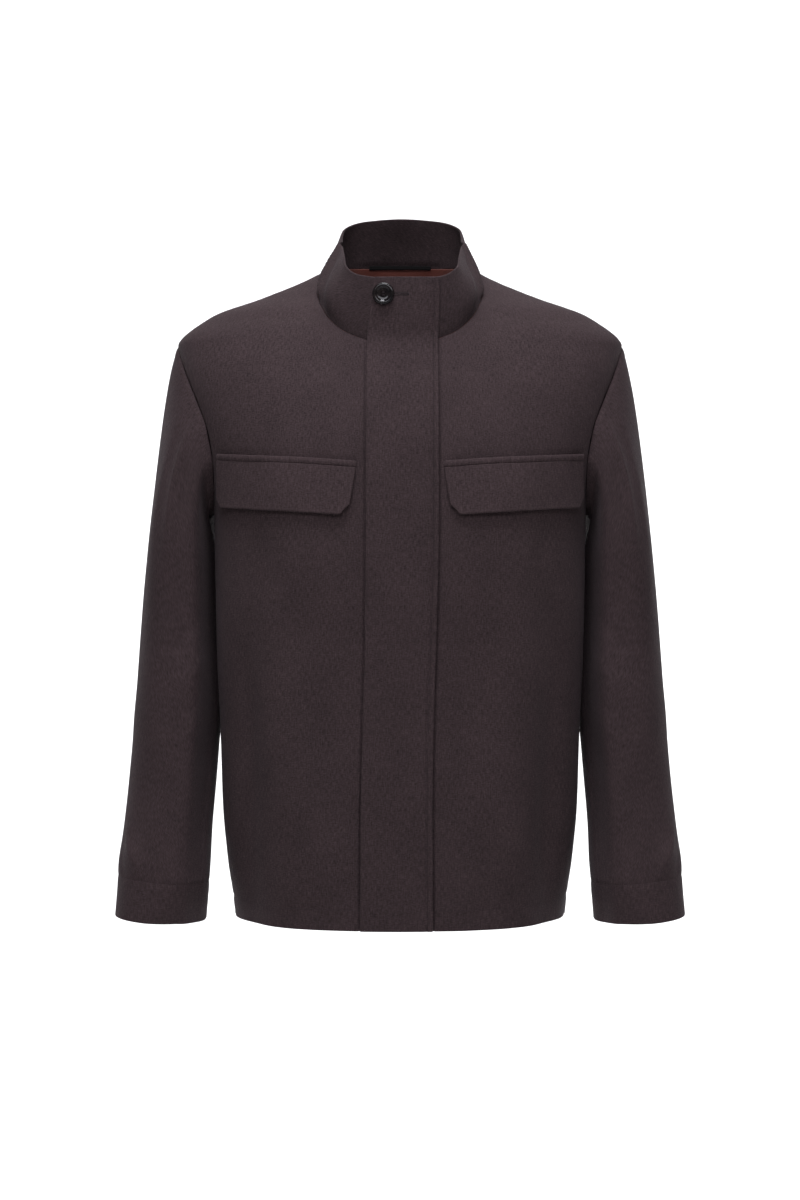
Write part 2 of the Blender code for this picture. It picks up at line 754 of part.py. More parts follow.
left_top = collar_ends(LEFT_FRONT_SHARES)
right_top = collar_ends(RIGHT_FRONT_SHARES)
side_front_top = at_neck(front_places, 1)
side_back_top = at_neck(back_places, 1)
left_edge_top = side_front_top.copy()
left_edge_top[0] = neck_at_x(band_edge(1.0, COLLAR_FRONT_TOP), 1)
right_edge_top = mirrored(side_front_top)
right_edge_top[0] = neck_at_x(band_edge(0.0, COLLAR_FRONT_TOP), 1)
neck_columns = FRONT_NECK_COLUMNS
seam_line = np.concatenate(
    [
        left[-1, : left_strip + neck_columns + 1],
        back[-1, SHOULDER_COLUMNS + 1 : -SHOULDER_COLUMNS - 1],
        right[-1, : right_strip + neck_columns + 1][::-1],
    ]
)
top_line = np.concatenate(
    [
        left_top,
        left_edge_top,
        side_back_top[1:],
        mirrored(side_back_top[::-1])[1:-1],
        right_edge_top[::-1],
        right_top[::-1],
    ]
)
top_line = top_line + np.array([COLLAR_LEAN, 0.0, 0.0])
levels = np.linspace(0.0, 1.0, COLLAR_ROWS + 1)[:, None, None]
collar = (1 - levels) * seam_line[None] + levels * top_line[None]
collar_normal = grid_normal(collar)
collar = collar - COLLAR_HOLLOW * np.sin(pi * levels) * collar_normal
collar_normal = grid_normal(collar)

# Directions shared by the walls that meet at a seam
left_in = left_normal.copy()
right_in = right_normal.copy()
back_in = back_normal.copy()
sleeve_in = sleeve_normal.copy()
collar_in = collar_normal.copy()
arm = slice(SIDE_ROWS, None)
tips = ARMHOLE_ROWS + 1
cap_normal = sleeve_normal[0]
front_cap = mitred(left_normal[arm, -1], cap_normal[:tips])
back_cap = mitred(back_normal[arm, 0], cap_normal[tips - 1 :][::-1])
tip_both = 0.5 * (front_cap[-1] + back_cap[-1])
under_both = 0.5 * (front_cap[0] + back_cap[0])
for line in (front_cap, back_cap):
    line[-1] = tip_both
    line[0] = under_both
left_in[arm, -1] = front_cap
right_in[arm, -1] = mirrored(front_cap)
back_in[arm, 0] = back_cap
back_in[arm, -1] = mirrored(back_cap)
sleeve_in[0] = np.concatenate([front_cap, back_cap[::-1][1:]])
body_neck = np.concatenate(
    [
        left_normal[-1, : left_strip + neck_columns + 1],
        back_normal[-1, SHOULDER_COLUMNS + 1 : -SHOULDER_COLUMNS - 1],
        right_normal[-1, : right_strip + neck_columns + 1][::-1],
    ]
)
neck_in = mitred(body_neck, collar_normal[0])
collar_in[0] = neck_in
count_left = left_strip + neck_columns + 1
count_back = 2 * BACK_NECK_HALF - 1
left_in[-1, :count_left] = neck_in[:count_left]
back_in[-1, SHOULDER_COLUMNS : -SHOULDER_COLUMNS] = np.concatenate(
    [neck_in[count_left - 1 : count_left], neck_in[count_left : count_left + count_back + 1]]
)
right_in[-1, : right_strip + neck_columns + 1] = neck_in[count_left + count_back :][::-1]

# Body panels
left_edges = pulled(left, ("high", "last"))
right_edges = pulled(right, ("high", "last"))
back_edges = pulled(back, ("high", "first", "last"))
wall("front_left", left_edges, left_edges - CLOTH * left_in, wool)
wall("front_right", right_edges, right_edges - CLOTH * right_in, wool)
wall("back", back_edges, back_edges - CLOTH * back_in, wool)

# Sleeves: top sleeve over the outside, under sleeve along the inside
seam_row = CAP_ROWS + SLEEVE_ROWS
upper = sleeve[: seam_row + 1]
upper_in = sleeve_in[: seam_row + 1]
under_columns = list(range(2 * ARMHOLE_ROWS - BACK_SLEEVE_SEAM, 2 * ARMHOLE_ROWS))
under_columns += list(range(0, FRONT_SLEEVE_SEAM + 1))
top_columns = list(range(FRONT_SLEEVE_SEAM, 2 * ARMHOLE_ROWS - BACK_SLEEVE_SEAM + 1))
cuff_edges = pulled(sleeve[seam_row:], ("low",))
cuff_in = sleeve_in[seam_row:]
for side, turn in (("left", lambda points: points), ("right", mirrored)):
    for piece, columns in (("top", top_columns), ("under", under_columns)):
        edges = pulled(upper[:, columns], ("low", "high", "first", "last"))
        inner = edges - CLOTH * upper_in[:, columns]
        wall(f"sleeve_{piece}_{side}", turn(edges), turn(inner), wool)
    wall(f"cuff_{side}", turn(cuff_edges), turn(cuff_edges - CUFF_CLOTH * cuff_in), wool, closed=True)

# Collar
collar_edges = pulled(collar, ("low",))
wall("collar", collar_edges, collar_edges - COLLAR_CLOTH * collar_in, wool)

# Placket: the points of the fronts and of the collar under it, moved out
left_count = left_strip + 1
right_count = right_strip + 1
body_under = np.concatenate([left[:, :left_count][:, ::-1], right[:, :right_count]], axis=1)
body_out = np.concatenate([left_in[:, :left_count][:, ::-1], right_in[:, :right_count]], axis=1)
collar_under = np.concatenate([collar[:, :left_count][:, ::-1], collar[:, -right_count:][:, ::-1]], axis=1)
collar_out = np.concatenate(
    [collar_in[:, :left_count][:, ::-1], collar_in[:, -right_count:][:, ::-1]], axis=1
)
under = np.concatenate([body_under, collar_under[1:]])
out = np.concatenate([body_out, collar_out[1:]])
placket_inner = under + SEAM_GAP * out
placket_outer = under + (SEAM_GAP + PLACKET_CLOTH) * out
wall("placket", placket_outer, placket_inner, wool)


def on_grid(grid, x, height):
    """Point of the placket's face at a distance from the centre and a height."""
    crossing = []
    for j in range(grid.shape[1]):
        crossing.append([np.interp(height, grid[:, j, 2], grid[:, j, k]) for k in range(3)])
    crossing = np.array(crossing)
    order = np.argsort(crossing[:, 0])
    return np.array([np.interp(x, crossing[order, 0], crossing[order, k]) for k in range(3)])


# Pockets


def round_front(distance, height):
    """Point of the left front at a distance round it from the centre line."""
    x = np.linspace(0.0, 1.0, 400)
    shares = np.sin(0.5 * pi * x)
    width = body_column("half_width", height)
    line = front_line(shares * width * 0.999, height)
    along = lengths_along(line)
    return np.array([np.interp(distance, along, line[:, k]) for k in range(3)])


def pocket_top(share):
    """Height of the pocket's top line at a share of its length from the inner end."""
    return POCKET_TOP_INNER + share * (POCKET_TOP_OUTER - POCKET_TOP_INNER)


def pocket_grids(side):
    """Base points of the jet and of the flap of one chest pocket, and their outward directions."""
    shares = np.linspace(0.0, 1.0, FLAP_COLUMNS + 1)
    jet = np.zeros((2, FLAP_COLUMNS + 1, 3))
    flap = np.zeros((FLAP_ROWS + 1, FLAP_COLUMNS + 1, 3))
    for j, share in enumerate(shares):
        distance = POCKET_INNER + share * POCKET_LENGTH
        top = pocket_top(share)
        for i, down in enumerate((0.0, JET_DEPTH)):
            jet[i, j] = round_front(distance, top - down)
        reach = FLAP_DEPTH
        for corner in (distance - POCKET_INNER, POCKET_INNER + POCKET_LENGTH - distance):
            if corner < FLAP_CORNER:
                reach = min(reach, FLAP_DEPTH - (FLAP_CORNER - corner))
        for i in range(FLAP_ROWS + 1):
            down = i / FLAP_ROWS
            drop = JET_DEPTH + SEAM_GAP + reach * down
            flap[i, j] = round_front(distance - FLAP_LEAN * down, top - drop)
    if side < 0:
        jet = mirrored(jet)
        flap = mirrored(flap)
    jet_out = form_normal(jet)
    flap_out = form_normal(flap)
    jet = jet + fold_height(jet, "front")[..., None] * jet_out
    flap = flap + fold_height(flap, "front")[..., None] * flap_out
    return jet, jet_out, flap, flap_out


for side, sign in (("left", 1), ("right", -1)):
    jet, jet_out, flap, flap_out = pocket_grids(sign)
    lift = np.linspace(FLAP_LIFT_TOP, FLAP_LIFT_BOTTOM, FLAP_ROWS + 1)[:, None, None]
    wall(f"jet_{side}", jet + (FLAP_LIFT_TOP + FLAP_CLOTH) * jet_out, jet + FLAP_LIFT_TOP * jet_out, wool)
    wall(f"flap_{side}", flap + (lift + FLAP_CLOTH) * flap_out, flap + lift * flap_out, wool)

# Back lining: the inner points of the back, moved in
lining_rows = slice(-LINING_ROWS, None)
lining_columns = slice(LINING_INSET, -LINING_INSET)
lining_in = back_normal[lining_rows, lining_columns]
lining = (back_edges - CLOTH * back_in)[lining_rows, lining_columns] - LINING_CLEAR * lining_in
lining = pulled(lining, ("high",), LINING_NECK_CLEAR)
wall("back_lining", lining, lining - LINING_CLOTH * lining_in, lining_satin)

# Hanger loop along the back neck, just under the collar seam
loop_x = np.linspace(LOOP_HALF_LENGTH, -LOOP_HALF_LENGTH, LOOP_COLUMNS + 1)
loop_seam = back_neck(loop_x)
loop_way = np.gradient(loop_seam, axis=0)
loop_out = unit(np.stack([loop_way[:, 1], -loop_way[:, 0], 0 * loop_x], axis=1))
swells = LOOP_SWELL * (1.0 - (loop_x / LOOP_HALF_LENGTH) ** 2)
loop_face = loop_seam - (LOOP_DEPTH + swells)[:, None] * loop_out
loop = np.stack([loop_face, loop_face])
loop[0, :, 2] -= LOOP_DROP + LOOP_WIDTH
loop[1, :, 2] -= LOOP_DROP
wall("hanger_loop", loop, loop - LOOP_CLOTH * loop_out[None], loop_tape)

# Button, turned and drilled, on the placket at the neck
centre = on_grid(placket_outer, BUTTON_X, BUTTON_HEIGHT)
beside = on_grid(placket_outer, BUTTON_X - BUTTON_RADIUS, BUTTON_HEIGHT)
above = on_grid(placket_outer, BUTTON_X, BUTTON_HEIGHT + BUTTON_RADIUS)
facing = unit(np.cross(centre - beside, above - centre))
profile = (
    (0.0, BUTTON_THICKNESS * 0.62),
    (BUTTON_RADIUS * 0.56, BUTTON_THICKNESS * 0.62),
    (BUTTON_RADIUS * 0.68, BUTTON_THICKNESS * 0.94),
    (BUTTON_RADIUS * 0.80, BUTTON_THICKNESS),
    (BUTTON_RADIUS * 0.94, BUTTON_THICKNESS * 0.88),
    (BUTTON_RADIUS, BUTTON_THICKNESS * 0.58),
    (BUTTON_RADIUS * 0.93, BUTTON_THICKNESS * 0.22),
    (BUTTON_RADIUS * 0.66, 0.0),
    (0.0, 0.0),
)
outline = bpy.data.meshes.new("button")
outline.from_pydata([(r, 0.0, z) for r, z in profile], [(i, i + 1) for i in range(len(profile) - 1)], [])
button = placed("button", outline, horn)
turned = button.modifiers.new("turned", "SCREW")
turned.steps = 28
turned.render_steps = 28
turned.use_merge_vertices = True
turned.merge_threshold = 0.00005
turned.use_normal_calculate = True
place = centre + facing * BUTTON_CLEAR
side_way = unit(np.cross(np.array([0.0, 0.0, 1.0]), facing))
up_way = np.cross(facing, side_way)
button.matrix_local = Matrix(
    (
        (side_way[0], up_way[0], facing[0], place[0]),
        (side_way[1], up_way[1], facing[1], place[1]),
        (side_way[2], up_way[2], facing[2], place[2]),
        (0.0, 0.0, 0.0, 1.0),
    )
)
for i in range(4):
    angle = radians(45 + 90 * i)
    spot = np.array([cos(angle), sin(angle)]) * BUTTON_HOLE_SPACING
    bpy.ops.mesh.primitive_cylinder_add(vertices=10, radius=BUTTON_HOLE_RADIUS, depth=4 * BUTTON_THICKNESS)
    drill = bpy.context.object
    drill.name = f"button_drill_{i}"
    for holder in list(drill.users_collection):
        holder.objects.unlink(drill)
    cutters.objects.link(drill)
    drill.hide_render = True
    drill.display_type = "WIRE"
    drill.parent = button
    drill.location = (spot[0], spot[1], 0.0)
    cut = button.modifiers.new(f"hole_{i}", "BOOLEAN")
    cut.operation = "DIFFERENCE"
    cut.solver = "EXACT"
    cut.object = drill
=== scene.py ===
"""Looks of the sport coat: sewn cloth shells on the form of its solids, with button, lining and light.

Metres, +Z up, the front faces -Y, the wearer's left is +X. Heights in the tables are above the hem.
"""

from collections import namedtuple
from math import cos, pi, radians, sin

import bmesh
import bpy
import numpy as np
from mathutils import Matrix, Vector


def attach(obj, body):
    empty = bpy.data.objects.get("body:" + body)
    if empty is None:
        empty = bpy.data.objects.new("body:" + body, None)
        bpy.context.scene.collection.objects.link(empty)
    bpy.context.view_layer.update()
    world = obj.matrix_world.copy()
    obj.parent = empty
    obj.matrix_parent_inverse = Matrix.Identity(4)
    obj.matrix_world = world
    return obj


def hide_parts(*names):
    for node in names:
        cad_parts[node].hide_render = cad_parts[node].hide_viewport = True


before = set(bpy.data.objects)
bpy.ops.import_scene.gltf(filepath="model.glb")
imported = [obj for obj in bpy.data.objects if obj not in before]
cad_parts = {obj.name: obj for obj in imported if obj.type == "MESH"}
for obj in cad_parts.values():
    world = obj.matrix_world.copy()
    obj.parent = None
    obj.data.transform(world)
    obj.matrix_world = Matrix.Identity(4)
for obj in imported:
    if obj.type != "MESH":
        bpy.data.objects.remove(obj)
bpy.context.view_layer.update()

# Main sizes, as in the solids
NECK_HEIGHT = 0.692
UNDERARM_HEIGHT = 0.430
SHOULDER_TIP_HEIGHT = 0.613
CLOTH = 0.0020
COLLAR_CLOTH = 0.0024
CUFF_CLOTH = 0.0022
PLACKET_CLOTH = 0.0018
FLAP_CLOTH = 0.0018
LINING_CLOTH = 0.0010
LOOP_CLOTH = 0.0012
SEAM_GAP = 0.0003


def rows_with(columns, *rows):
    """A table whose rows have named columns."""
    row_type = namedtuple("Row", columns)
    return tuple(row_type(*row) for row in rows)


# Rough steps of each panel, as in the solids, and the fine steps in each
SIDE_ROWS = 10
ARMHOLE_ROWS = 10
FRONT_NECK_COLUMNS = 6
BACK_NECK_HALF = 5
SHOULDER_COLUMNS = 6
CAP_ROWS = 5
SLEEVE_ROWS = 9
CUFF_ROWS = 2
FRONT_SLEEVE_SEAM = 2
BACK_SLEEVE_SEAM = 4
FINE = 8
RIM_STEPS = 4
COLLAR_LEVELS = 4
COLLAR_FINE = 6
CUFF_FINE = 12
LINING_FINE = 6
CLOSE_TO_EDGE = (0.02, 0.05, 0.09)
CLOSE_TO_BAND = (0.03, 0.06, 0.09, 0.16, 0.20)

# Samples along the lines that edges are cut from, and rounds of the steps that settle points
LINE_SAMPLES = 400
ROUND_SAMPLES = 200
SHOULDER_SAMPLES = 60
NECK_SAMPLES = 241
ARMHOLE_STEPS = 300
BUTTONHOLE_SAMPLES = 40
FORM_STEP = 0.9
FORM_ROUNDS = 12
TOUCH_UP_ROUNDS = 3
EVEN_ROUNDS = 60
BAND_ROUNDS = 6

# The form that the body panels lie on, one level section per row
BODY = rows_with(
    "height half_width front_depth back_depth front_power back_power",
    (-0.010, 0.1775, 0.131, 0.127, 2.20, 2.30),
    (0.000, 0.1780, 0.131, 0.127, 2.20, 2.30),
    (0.060, 0.1858, 0.132, 0.124, 2.25, 2.30),
    (0.123, 0.1911, 0.133, 0.121, 2.30, 2.35),
    (0.188, 0.1930, 0.134, 0.119, 2.35, 2.40),
    (0.296, 0.1972, 0.138, 0.121, 2.45, 2.45),
    (0.385, 0.1988, 0.141, 0.127, 2.50, 2.50),
    (0.430, 0.1995, 0.141, 0.130, 2.50, 2.50),
    (0.491, 0.2105, 0.137, 0.131, 2.50, 2.45),
    (0.550, 0.2270, 0.122, 0.129, 2.40, 2.35),
    (0.590, 0.2370, 0.103, 0.123, 2.30, 2.25),
    (0.613, 0.2395, 0.089, 0.118, 2.20, 2.20),
    (0.620, 0.2355, 0.084, 0.116, 2.20, 2.20),
    (0.628, 0.2268, 0.079, 0.114, 2.15, 2.15),
    (0.637, 0.2140, 0.072, 0.111, 2.10, 2.10),
    (0.646, 0.1990, 0.065, 0.108, 2.10, 2.10),
    (0.663, 0.1520, 0.050, 0.102, 2.00, 2.05),
    (0.680, 0.1096, 0.034, 0.096, 2.00, 2.00),
    (0.689, 0.0910, 0.025, 0.092, 2.00, 2.00),
    (0.692, 0.0862, 0.022, 0.091, 2.00, 2.00),
    (0.700, 0.0815, 0.018, 0.088, 2.00, 2.00),
    (0.712, 0.0780, 0.015, 0.084, 2.00, 2.00),
)

# Armhole edge, from the underarm to the shoulder tip: how far before and behind the side it swings
FRONT_ARMHOLE = rows_with(
    "height swing",
    (0.430, 0.000),
    (0.434, 0.020),
    (0.446, 0.038),
    (0.464, 0.053),
    (0.491, 0.063),
    (0.518, 0.062),
    (0.552, 0.049),
    (0.584, 0.031),
    (0.606, 0.013),
    (0.613, 0.000),
)
BACK_ARMHOLE = rows_with(
    "height swing",
    (0.430, 0.000),
    (0.434, 0.021),
    (0.447, 0.041),
    (0.474, 0.059),
    (0.510, 0.066),
    (0.550, 0.056),
    (0.584, 0.037),
    (0.606, 0.015),
    (0.613, 0.000),
)

# Neck seam and the collar's top edge, from the front centre round to the back centre
NECK = rows_with(
    "base_x base_y base_height top_x top_y top_height",
    (0.0000, -0.094, 0.6050, 0.0000, -0.0890, 0.6740),
    (0.0353, -0.090, 0.6093, 0.0324, -0.0865, 0.6743),
    (0.0606, -0.080, 0.6204, 0.0503, -0.0770, 0.6800),
    (0.0756, -0.066, 0.6339, 0.0594, -0.0615, 0.6908),
    (0.0835, -0.050, 0.6480, 0.0613, -0.0430, 0.7018),
    (0.0878, -0.028, 0.6700, 0.0633, -0.0225, 0.7136),
    (0.0862, 0.000, 0.6920, 0.0650, 0.0000, 0.7255),
    (0.0745, 0.035, 0.7020, 0.0655, 0.0270, 0.7410),
    (0.0520, 0.066, 0.7075, 0.0510, 0.0545, 0.7550),
    (0.0270, 0.080, 0.7095, 0.0270, 0.0635, 0.7600),
    (0.0000, 0.085, 0.7100, 0.0000, 0.0660, 0.7620),
)
SHOULDER_POINT = 6
COLLAR_FRONT_TOP = NECK[0].top_height
COLLAR_HOLLOW = -0.0012
COLLAR_FORWARD = 0.009
COLLAR_FORWARD_END = 5.5
COLLAR_FORWARD_TAPER = 2.0
COLLAR_SWELL = 0.0060
COLLAR_SWELL_PLACE = 3.3
COLLAR_SWELL_LOW = 0.70
COLLAR_SWELL_SPREAD = 1.25
COLLAR_SWELL_START = 1.3
COLLAR_SWELL_RISE = 1.0
COLLAR_SEAM_REACH = 0.12
RIPPLE_END = 0.25
COLLAR_LEAN = 0.002

# Ripples of the collar, the same on both sides: places along the neck table, and shares of the height
COLLAR_RIPPLES = rows_with(
    "from_place from_level to_place to_level half_width height",
    (4.3, 0.00, 5.9, 1.02, 0.0042, 0.0044),
    (3.4, 0.00, 4.9, 0.80, 0.0075, -0.0022),
    (7.6, 0.10, 7.4, 0.95, 0.0120, 0.0014),
    (9.2, 0.05, 9.4, 0.95, 0.0140, -0.0010),
)
NECK_STEP = 0.021

# Edges of the placket band: the free edge on the wearer's right, the sewn edge on the left
PLACKET = rows_with(
    "height free_edge sewn_edge",
    (-0.010, -0.0410, 0.0335),
    (0.000, -0.0408, 0.0335),
    (0.120, -0.0395, 0.0330),
    (0.210, -0.0377, 0.0341),
    (0.300, -0.0356, 0.0368),
    (0.420, -0.0346, 0.0395),
    (0.605, -0.0346, 0.0395),
    (0.640, -0.0320, 0.0390),
    (0.680, -0.0275, 0.0385),
)
RIGHT_FRONT_SHARES = (0.84, 0.56, 0.28, 0.00)
LEFT_FRONT_SHARES = (0.90, 1.00)
PLACKET_AT_NECK = 0.0395

# Level sections of the sleeve, from the biceps down to the end of the cuff
SLEEVE = rows_with(
    "height centre_x centre_y half_width half_depth rise power",
    (0.385, 0.2337, 0.005, 0.0387, 0.0740, 0.00, 2.20),
    (0.339, 0.2357, 0.005, 0.0411, 0.0710, 0.01, 2.20),
    (0.296, 0.2371, 0.003, 0.0430, 0.0680, 0.02, 2.20),
    (0.253, 0.2382, -0.001, 0.0447, 0.0650, 0.03, 2.20),
    (0.209, 0.2408, -0.006, 0.0458, 0.0620, 0.04, 2.20),
    (0.188, 0.2424, -0.009, 0.0455, 0.0610, 0.05, 2.20),
    (0.145, 0.2458, -0.015, 0.0462, 0.0585, 0.06, 2.20),
    (0.101, 0.2492, -0.021, 0.0468, 0.0560, 0.07, 2.20),
    (0.058, 0.2515, -0.027, 0.0480, 0.0540, 0.08, 2.20),
    (0.043, 0.2522, -0.030, 0.0478, 0.0535, 0.10, 2.20),
    (0.001, 0.2554, -0.036, 0.0474, 0.0520, 0.09, 2.20),
)
SLEEVE_CLEAR = 0.0015
BICEPS_HEIGHT = 0.385
BELOW_BICEPS = 0.04
FACING_STEP = 0.02
CUFF_END_HEIGHT = 0.001
CUFF_SEAM_HEIGHT = 0.043

# Which way the sleeve leaves the armhole: turn 0 underarm, 0.5 shoulder tip, then behind
CAP = rows_with(
    "turn out forward up reach",
    (0.00, 0.95, 0.00, 0.30, 0.90),
    (0.12, 0.90, 0.25, 0.00, 0.70),
    (0.25, 0.75, 0.30, -0.45, 0.60),
    (0.38, 0.50, 0.20, -0.80, 0.60),
    (0.50, 0.34, 0.00, -0.92, 0.60),
    (0.62, 0.50, -0.20, -0.80, 0.60),
    (0.75, 0.75, -0.30, -0.45, 0.60),
    (0.88, 0.90, -0.25, 0.00, 0.70),
    (1.00, 0.95, 0.00, 0.30, 0.90),
)
CAP_END_REACH = 0.85

# Large soft folds of the body, deeper and more than in the solids: a line from a top to a bottom point
FOLDS = rows_with(
    "face x_top top x_bottom bottom half_width height",
    ("front", -0.135, 0.405, -0.092, -0.060, 0.032, 0.0085),
    ("front", 0.132, 0.405, 0.098, -0.070, 0.030, 0.0080),
    ("front", -0.160, 0.470, -0.157, -0.200, 0.018, -0.0070),
    ("front", 0.161, 0.470, 0.158, -0.220, 0.018, -0.0075),
    ("front", -0.100, 0.600, -0.102, 0.240, 0.045, 0.0080),
    ("front", 0.102, 0.600, 0.099, 0.240, 0.045, 0.0078),
    ("front", -0.068, 0.400, -0.062, 0.120, 0.024, -0.0025),
    ("front", 0.072, 0.400, 0.060, 0.120, 0.024, -0.0025),
    ("front", -0.118, 0.110, -0.112, -0.030, 0.018, 0.0025),
    ("front", 0.066, 0.100, 0.062, -0.030, 0.016, 0.0025),
    ("back", -0.085, 0.450, -0.070, 0.020, 0.030, 0.0070),
    ("back", 0.088, 0.430, 0.075, 0.030, 0.028, 0.0064),
    ("back", 0.000, 0.380, 0.004, -0.060, 0.035, -0.0055),
)
# Finer creases of the body, from one end to the other
CREASES = rows_with(
    "face x_from from_height x_to to_height half_width height",
    ("front", -0.072, 0.130, -0.066, 0.005, 0.010, 0.0016),
    ("front", -0.094, 0.105, -0.090, 0.000, 0.009, -0.0012),
    ("front", -0.150, 0.150, -0.140, 0.010, 0.012, 0.0014),
    ("front", 0.088, 0.120, 0.083, 0.000, 0.010, -0.0013),
    ("front", 0.120, 0.140, 0.108, 0.005, 0.011, 0.0015),
    ("front", 0.152, 0.170, 0.146, 0.020, 0.012, -0.0012),
    ("front", -0.160, 0.445, -0.118, 0.330, 0.012, -0.0016),
    ("front", 0.162, 0.440, 0.122, 0.315, 0.012, -0.0015),
    ("front", -0.172, 0.400, -0.150, 0.220, 0.011, 0.0012),
    ("front", 0.170, 0.390, 0.152, 0.240, 0.011, 0.0013),
    ("front", -0.052, 0.150, -0.047, 0.080, 0.012, -0.0014),
    ("front", 0.050, 0.155, 0.047, 0.085, 0.011, -0.0014),
    ("back", -0.150, 0.470, -0.105, 0.300, 0.014, 0.0036),
    ("back", 0.148, 0.480, 0.100, 0.320, 0.014, 0.0038),
    ("back", -0.120, 0.440, -0.050, 0.350, 0.011, -0.0028),
    ("back", 0.125, 0.430, 0.058, 0.360, 0.011, -0.0026),
    ("back", -0.040, 0.190, -0.034, 0.010, 0.014, 0.0028),
    ("back", 0.046, 0.170, 0.050, 0.010, 0.013, 0.0026),
    ("back", -0.110, 0.160, -0.108, 0.010, 0.013, -0.0016),
    ("back", 0.118, 0.150, 0.112, 0.010, 0.014, -0.0018),
    ("back", -0.030, 0.600, 0.040, 0.590, 0.016, -0.0020),
)
# Large soft folds of each sleeve, some deeper than in the solids: turn round it, height and spread
SLEEVE_FOLDS = rows_with(
    "turn height turn_spread height_spread swell",
    (0.36, 0.430, 0.05, 0.110, 0.0035),
    (0.22, 0.330, 0.06, 0.060, -0.0030),
    (0.33, 0.135, 0.12, 0.066, -0.0105),
    (0.37, 0.062, 0.09, 0.018, 0.0040),
    (0.72, 0.250, 0.08, 0.050, 0.0035),
    (0.80, 0.130, 0.08, 0.030, -0.0025),
)
# Finer creases of each sleeve, from one end to the other
SLEEVE_CREASES = rows_with(
    "turn_from from_height turn_to to_height half_width height",
    (0.305, 0.600, 0.300, 0.350, 0.0048, 0.0034),
    (0.350, 0.560, 0.345, 0.360, 0.0080, -0.0018),
    (0.255, 0.560, 0.250, 0.340, 0.0080, -0.0020),
    (0.200, 0.500, 0.190, 0.300, 0.0100, 0.0016),
    (0.14, 0.330, 0.30, 0.270, 0.010, -0.0018),
    (0.12, 0.285, 0.27, 0.235, 0.009, 0.0016),
    (0.15, 0.235, 0.26, 0.200, 0.009, -0.0014),
    (0.455, 0.105, 0.280, 0.048, 0.0070, 0.0040),
    (0.440, 0.075, 0.370, 0.044, 0.0055, -0.0024),
    (0.185, 0.520, 0.190, -0.060, 0.0110, 0.0030),
    (0.60, 0.300, 0.76, 0.250, 0.011, 0.0022),
    (0.62, 0.250, 0.82, 0.215, 0.010, -0.0020),
    (0.60, 0.205, 0.78, 0.180, 0.009, 0.0018),
    (0.64, 0.110, 0.80, 0.075, 0.009, 0.0018),
    (0.66, 0.080, 0.84, 0.055, 0.008, -0.0014),
    (0.70, 0.520, 0.66, 0.390, 0.011, 0.0018),
)
# A crease starts narrower than its half width, widens along its run and fades at both ends
CREASE_START_WIDTH = 0.75
CREASE_WIDENING = 0.5
CREASE_FADE_POWER = 1.3
# Girth that turns a sleeve crease's turns into lengths
SLEEVE_GIRTH = 0.36
# How the hidden inner side of each sleeve and cuff is turned back
INNER_BACK = 0.032
INNER_FROM_TURN = 0.165
INNER_TURN_SPREAD = 0.075
INNER_REAR_SPREAD = 0.16
INNER_FULL_HEIGHT = 0.17
INNER_CUFF_SHARE = 0.25
CUFF_BACK = 0.013
CUFF_FROM_TURN = 0.285
CUFF_TURN_SPREAD = 0.12
# Where folds start below the armhole, and how much of them is left on the cuff
FOLD_FADE = 0.04
CUFF_FOLD_SHARE = 0.7

# Chest pockets, measured round the front from the centre line and up from the hem
POCKET_INNER = 0.0445
POCKET_LENGTH = 0.163
POCKET_TOP_INNER = 0.4800
POCKET_TOP_OUTER = 0.4915
JET_DEPTH = 0.0058
FLAP_DEPTH = 0.0490
FLAP_LEAN = -0.006
FLAP_CORNER = 0.011
FLAP_LIFT_TOP = 0.0007
FLAP_LIFT_BOTTOM = 0.0036
FLAP_CROWN = 0.0007
FLAP_EDGE_RIDGE = 0.0004
FLAP_EDGE_REACH = 0.0045
FLAP_EDGE_AT = 0.002
FLAP_CORNER_ROUND = 0.45
JET_CROWN = 0.0006
CLOSE_TO_FLAP_ENDS = (0.004, 0.008, 0.992, 0.996)
CLOSE_TO_FLAP_EDGES = (0.012, 0.97, 0.985)
SIDE_SHORT = 0.999
FLAP_COLUMNS = 76
FLAP_ROWS = 30
JET_ROWS = 8
JET_LAYERS = 2

# Button, its thread and its hole
BUTTON_X = -0.0170
BUTTON_HEIGHT = 0.6560
BUTTON_RADIUS = 0.0115
BUTTON_THICKNESS = 0.0042
BUTTON_HOLE_RADIUS = 0.0010
BUTTON_HOLE_SPACING = 0.0021
BUTTON_CLEAR = 0.0006
BUTTON_SIDES = 72
BUTTONHOLE_START = -0.0130
BUTTONHOLE_END = 0.0085
BUTTONHOLE_PITCH = 0.0007
BUTTONHOLE_REACH = 0.0018
BUTTONHOLE_SLIT = 0.0002
BUTTONHOLE_THREAD = 0.00032
END_BAR_SPACING = 0.0006
END_BAR_HALF = 0.0017
END_BAR_THREAD = 0.00035
BUTTON_FACE = 0.62
BUTTON_THREAD_RADIUS = 0.00034
BUTTON_THREAD_SPACING = 0.0004
BUTTON_THREAD_LIFT = 0.0002
DRILL_SIDES = 20
BUTTON_SHARP_DEGREES = 40

# Hanger loop and back lining
LOOP_HALF_LENGTH = 0.036
LOOP_WIDTH = 0.0034
LOOP_DROP = -0.0008
LOOP_SWELL = 0.0020
LOOP_DEPTH = 0.0046
LOOP_COLUMNS = 40
LOOP_ROWS = 6
LINING_ROWS = 8
LINING_INSET = 2
LINING_CLEAR = 0.0008
LINING_NECK_CLEAR = 0.0012

